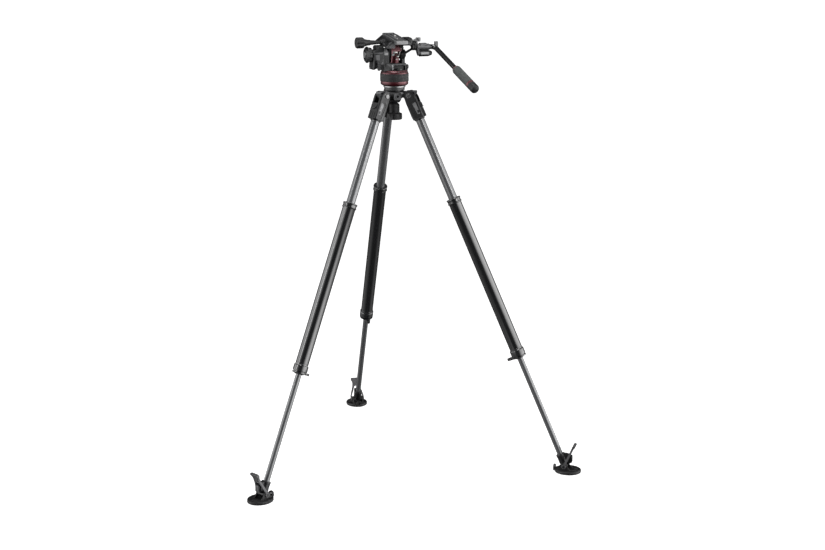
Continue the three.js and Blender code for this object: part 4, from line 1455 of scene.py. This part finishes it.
def clamp_wing():
    y, z, radius = WING["y"], WING["z"], WING["radius"]
    barrel = along("x", lathe([
        (0, 65), (radius - 0.8, 65), (radius, 65.8), (radius, 95), (radius - 1, 98.4), (7, 106),
        (5.6, 108), (0, 108),
    ], 96), y, z)
    neck = rod("x", 4, 61, 66, y, z)
    flat = slab("x", rectangle(y - 10.2, z + 4, 3.6, 16), 68, 97)
    return cut(join(barrel, neck), flat)


def wing_face():
    """The satin pad on the side of the clamp wing."""
    y, z = WING["y"], WING["z"]
    return slab("x", rectangle(y - 8.8, z + 0.1, 1.2, 7), 68.6, 96.4)


def sweep(path, radius, sides=40):
    """A closed round bar along a list of points."""
    points = [Vector(p) for p in path]
    turns = [2 * math.pi * k / sides for k in range(sides)]
    rings, across = [], None
    for k, point in enumerate(points):
        ahead = (points[min(k + 1, len(points) - 1)] - points[max(k - 1, 0)]).normalized()
        if across is None:
            across = ahead.orthogonal().normalized()
        across = (across - ahead * across.dot(ahead)).normalized()
        other = ahead.cross(across)
        rings.append([
            point + across * (radius * math.cos(a)) + other * (radius * math.sin(a)) for a in turns
        ])
    return skin(rings)


def pan_bar():
    axis = TILT_HEIGHT
    corner = WORLD.inverted() @ BAR.translation
    out = (BAR.to_3x3() @ Vector((0, 0, 1))).normalized()
    start = WORLD.inverted() @ BAR_START
    into = (corner - start).normalized()
    bend_in, bend_out = corner - into * 14, corner + out * 14
    path = [start]
    for k in range(13):
        t = k / 12
        path.append(bend_in * (1 - t) ** 2 + corner * (2 * t * (1 - t)) + bend_out * t ** 2)
    path.append(corner + out * (GRIP["end"] - 10))
    bar = sweep(path, BAR_RADIUS, 48)
    peg = cut(
        slab("y", [
            (121, axis + 21, 1), (131.5, axis + 20, 1), (131.5, axis + 41, 1.6), (121.5, axis + 41, 1.6),
        ], -52, -42),
        slab("y", rectangle(126.4, axis + 41, 4, 3, 0.4), -54, -40),
    )
    return join(bar, peg)


def grip_foam():
    start, end, radius = GRIP["start"] + 4.5, GRIP["end"] - 7.4, GRIP["radius"]
    bore = BAR_RADIUS + 0.8
    rings = [(bore, start), (radius - 1.4, start), (radius - 0.3, start + 1.4), (radius, start + 3)]
    rings += [(radius, start + 3 + (end - start - 6) * k / 24) for k in range(1, 24)]
    rings += [(radius, end - 1), (radius - 0.6, end), (bore, end)]
    return lathe(rings, 96)


def grip_collar():
    start = GRIP["start"]
    return lathe([
        (8.3, start), (11.4, start), (12.6, start + 1), (13.4, start + 4.3), (8.3, start + 4.3),
    ], 96)


def grip_band():
    start, radius = GRIP["end"] - 7.2, GRIP["radius"]
    return lathe([
        (0, start), (radius - 0.4, start), (radius, start + 0.4), (radius, start + 6.8),
        (radius - 0.4, start + 7.2), (0, start + 7.2),
    ], 96)


def grip_cap():
    """The rubber cap, rounded at its free end, with a dimple in the middle."""
    start, end, radius = GRIP["end"] + GAP, GRIP["cap_end"], GRIP["radius"]
    turns = [math.radians(8 * k) for k in range(9)]
    dome = [(radius * math.cos(a), end - 10 + 10 * math.sin(a)) for a in turns]
    return lathe([
        (0, start), (radius - 0.5, start), (radius, start + 0.5), (radius, start + 6),
        (radius - 0.6, start + 6.4), (radius - 0.6, start + 7.4), (radius, start + 7.8), *dome,
        (3.6, end - 0.2), (3, end - 1), (0, end - 1),
    ], 96)


def add_head():
    put = finish_piece
    put(lower_ring(), "ring_lower", "head_base", "red_metal", WORLD, ["lower_ring"], 0)
    put(drag_ring(), "drag_band", "drag_ring", "rubber_black", WORLD, ["pan_drag_ring"], 0)
    put(upper_ring(), "ring_upper", "pan_body", "red_metal", WORLD, ["upper_ring"], 0)
    put(pan_frame(), "frame_casting", "pan_body", "cast_black", WORLD, ["pan_frame"], 0.8)
    put(scale_ticks(), "degree_scale", "pan_body", "pale_face", WORLD, (), 0)
    put(front_post(), "index_post", "pan_body", "pale_face", WORLD, (), 0.3)
    put(frame_button(), "upright_ring", "pan_body", "graphite", WORLD, (), 0)
    put(front_screws(), "frame_screws", "pan_body", "dark_steel", WORLD, (), 0.15)
    put(bubble_level(), "level_rim", "pan_body", "cast_black", WORLD, (), 0)
    put(level_vial(), "level_vial", "pan_body", "vial_glass", WORLD, ["bubble_level"], 0)
    put(side_housing(), "housing_shell", "pan_body", "cast_black", WORLD, ["side_housing"], 1.0)
    put(housing_screws(), "housing_screws", "pan_body", "dark_steel", WORLD, (), 0.15)
    put(tilt_drag_dial(), "dial_drag", "tilt_drag", "rubber_black", WORLD, ["tilt_drag_dial"], 0)
    put(balance_dial(), "dial_balance", "balance", "cast_black", WORLD, ["balance_dial"], 0)
    put(dial_cap(), "dial_grip", "balance", "pale_face", WORLD, (), 0.5)
    put(tilt_lock_lever(), "lever_tilt_lock", "tilt_lock", "cast_black", WORLD, ["tilt_lock_lever"], 0.4)
    put(pan_lock_knob(), "knob_pan_lock", "pan_lock", "cast_black", WORLD, ["pan_lock_knob"], 0.3)
    put(piston_cylinder(), "cylinder_red", "pan_body", "red_metal", WORLD, ["piston_cylinder"], 0.2)
    put(piston_rod(), "rod_bright", "piston", "bright_steel", WORLD, ["piston_rod"], 0.2)
    put(red_saddle(), "saddle_red", "pan_body", "red_metal", WORLD, (), 0.4)
    # A pale strip as a painted highlight on the left upright's hub.
    put(upright_highlight_strip(), "upright_painted_highlight", "pan_body", "pale_face", WORLD, (), 0.2)
    put(guard_plate(), "guide_plate", "pan_body", "graphite", WORLD, (), 0.3)
    put(piston_link(), "piston_hardware", "pan_body", "bright_steel", WORLD, (), 0.2)
    put(tilt_axle_left(), "axle_left", "tilt_body", "bright_steel", TILT, ["tilt_axle_left"], 0)
    put(tilt_axle_right(), "axle_right", "tilt_body", "bright_steel", TILT, ["tilt_axle_right"], 0.2)
    put(platform(), "platform_casting", "tilt_body", "cast_black", TILT, ["platform"], 0.7)
    put(platform_screws(), "platform_screws", "tilt_body", "dark_steel", TILT, (), 0.15)
    put(camera_plate(), "plate_body", "slide_plate", "graphite", TILT, ["camera_plate"], 0.4)
    put(plate_pads(), "plate_pads", "slide_plate", "rubber_black", TILT, (), 0.15)
    put(camera_screw(), "screw_camera", "screw", "bright_steel", TILT, ["camera_screw"], 0)
    put(spare_screw(), "screw_spare", "slide_plate", "bright_steel", TILT, (), 0.15)
    put(plate_lock_knob(), "knob_plate_lock", "plate_lock", "rubber_black", TILT, ["plate_lock_knob"], 0)
    put(release_lever(), "lever_release", "release", "graphite", TILT, ["release_lever"], 0.5)
    put(rosette_mount(), "rosette_fixed", "tilt_body", "cast_black", TILT, ["rosette_mount"], 0.3)
    put(bar_clamp(), "clamp_body", "bar", "cast_black", WORLD, ["bar_clamp"], 0.5)
    put(clamp_wing(), "wing_barrel", "wing", "cast_black", WORLD, ["clamp_wing"], 0.3)
    put(wing_face(), "wing_pad", "wing", "pale_face", WORLD, (), 0.3)
    put(pan_bar(), "bar_bent", "bar", "gloss_tube", WORLD, ["pan_bar"], 0.3)
    put(grip_collar(), "grip_collar", "bar", "red_metal", BAR, (), 0)
    put(grip_foam(), "grip_sleeve", "bar", "grip_foam", BAR, ["bar_grip"], 0)
    put(grip_band(), "grip_band", "bar", "red_metal", BAR, (), 0)
    put(grip_cap(), "grip_end", "bar", "rubber_black", BAR, ["grip_cap"], 0)


add_crown()
add_head()
for each_leg in LEGS:
    add_leg(each_leg)

# ---------------------------------------------------------------- stage


def seen_and_lit(tree, seen, lit):
    """Mixes two shaders: one for what the camera sees directly and one for the light it gives."""
    path = tree.nodes.new("ShaderNodeLightPath")
    mix = tree.nodes.new("ShaderNodeMixShader")
    tree.links.new(path.outputs["Is Camera Ray"], mix.inputs["Fac"])
    tree.links.new(lit.outputs[0], mix.inputs[1])
    tree.links.new(seen.outputs[0], mix.inputs[2])
    return mix


def add_floor():
    bpy.ops.mesh.primitive_plane_add(size=60, location=(0, 0, -0.0005))
    floor = bpy.context.object
    floor.name = "floor"
    material = bpy.data.materials.new("floor")
    material.use_nodes = True
    tree = material.node_tree
    shader = tree.nodes["Principled BSDF"]
    shader.inputs["Base Color"].default_value = (0.5, 0.5, 0.5, 1)
    shader.inputs["Roughness"].default_value = 0.9
    shader.inputs["Specular IOR Level"].default_value = 0.0
    glow = tree.nodes.new("ShaderNodeEmission")
    glow.inputs["Strength"].default_value = FLOOR_GLOW
    both = tree.nodes.new("ShaderNodeAddShader")
    tree.links.new(shader.outputs[0], both.inputs[0])
    tree.links.new(glow.outputs[0], both.inputs[1])
    mix = seen_and_lit(tree, both, shader)
    tree.links.new(mix.outputs[0], tree.nodes["Material Output"].inputs["Surface"])
    floor.data.materials.append(material)
    floor.visible_glossy = False


def towards(tree, direction, aim):
    node = tree.nodes.new("ShaderNodeVectorMath")
    node.operation = "DOT_PRODUCT"
    node.inputs[1].default_value = aim
    tree.links.new(direction, node.inputs[0])
    return node.outputs["Value"]


def add_world():
    """White where the camera sees it. Its light comes from two wide walls, left and right."""
    world = bpy.data.worlds.new("studio")
    bpy.context.scene.world = world
    world.use_nodes = True
    tree = world.node_tree
    direction = tree.nodes.new("ShaderNodeTexCoord").outputs["Generated"]
    look = Vector((CAMERA_LOOK.x, CAMERA_LOOK.y, 0)).normalized()
    across = towards(tree, direction, (look.y, -look.x, 0))
    ahead = towards(tree, direction, look)
    height = towards(tree, direction, (0, 0, 1))
    right = ramp(tree, across, 0.35, 0.95, 0, RIGHT_WALL)
    left = ramp(tree, across, -0.95, -0.35, LEFT_WALL, 0)
    walls = combined(tree, "ADD", right, left)
    walls = combined(tree, "MULTIPLY", walls, ramp(tree, ahead, 0.15, 0.6, 1, 0.06))
    walls = combined(tree, "MULTIPLY", walls, ramp(tree, height, 0.15, 0.6, 1, 0.1))
    walls = combined(tree, "MULTIPLY", walls, ramp(tree, height, -0.5, -0.2, 0.12, 1))
    lit = tree.nodes["Background"]
    lit.inputs["Color"].default_value = (1, 1, 1, 1)
    tree.links.new(combined(tree, "ADD", walls, ROOM_LIGHT), lit.inputs["Strength"])
    seen = tree.nodes.new("ShaderNodeBackground")
    seen.inputs["Color"].default_value = (1, 1, 1, 1)
    seen.inputs["Strength"].default_value = 1.0
    mix = seen_and_lit(tree, seen, lit)
    tree.links.new(mix.outputs[0], tree.nodes["World Output"].inputs["Surface"])


def add_softbox(name, bearing, distance, height, size, power):
    """A soft light at some bearing in degrees from the camera's side, aimed at the middle."""
    light = bpy.data.lights.new(name, "AREA")
    light.shape = "RECTANGLE"
    light.size, light.size_y = size
    light.energy = power
    lamp = bpy.data.objects.new(name, light)
    bpy.context.scene.collection.objects.link(lamp)
    away = Vector((-CAMERA_LOOK.x, -CAMERA_LOOK.y, 0)).normalized()
    away.rotate(Matrix.Rotation(math.radians(bearing), 3, "Z"))
    axis = joint_place("pan")
    target = Vector((axis.x, axis.y, 0.5 * height))
    lamp.location = Vector((axis.x, axis.y, height)) + away * distance
    lamp.rotation_euler = (target - lamp.location).to_track_quat("-Z", "Y").to_euler()


def add_camera():
    camera = bpy.data.cameras.new("camera")
    camera.sensor_width = 36
    camera.lens = 67.4
    made = bpy.data.objects.new("camera", camera)
    bpy.context.scene.collection.objects.link(made)
    axis = joint_place("pan")
    made.location = Vector((axis.x, axis.y, 0)) + CAMERA_PLACE
    made.rotation_euler = CAMERA_LOOK.to_track_quat("-Z", "Y").to_euler()
    bpy.context.scene.camera = made


CAMERA_PLACE = Vector((-1.637, -4.754, 1.816))     # from the foot of the bowl's axis
CAMERA_LOOK = Vector((0.32772, 0.91681, -0.22818))
FLOOR_GLOW = 0.9
ROOM_LIGHT = 0.08
LEFT_WALL = 3.6
RIGHT_WALL = 5.6

add_floor()
add_world()
add_softbox("left_strip", -60, 3.2, 2.2, (0.5, 1.6), 22)
add_softbox("right_strip", 50, 3.2, 2.2, (0.5, 1.6), 34)
add_softbox("overhead", 0, 0.9, 4.0, (1.6, 1.2), 75)
add_camera()
bpy.context.scene.view_settings.view_transform = "Standard"
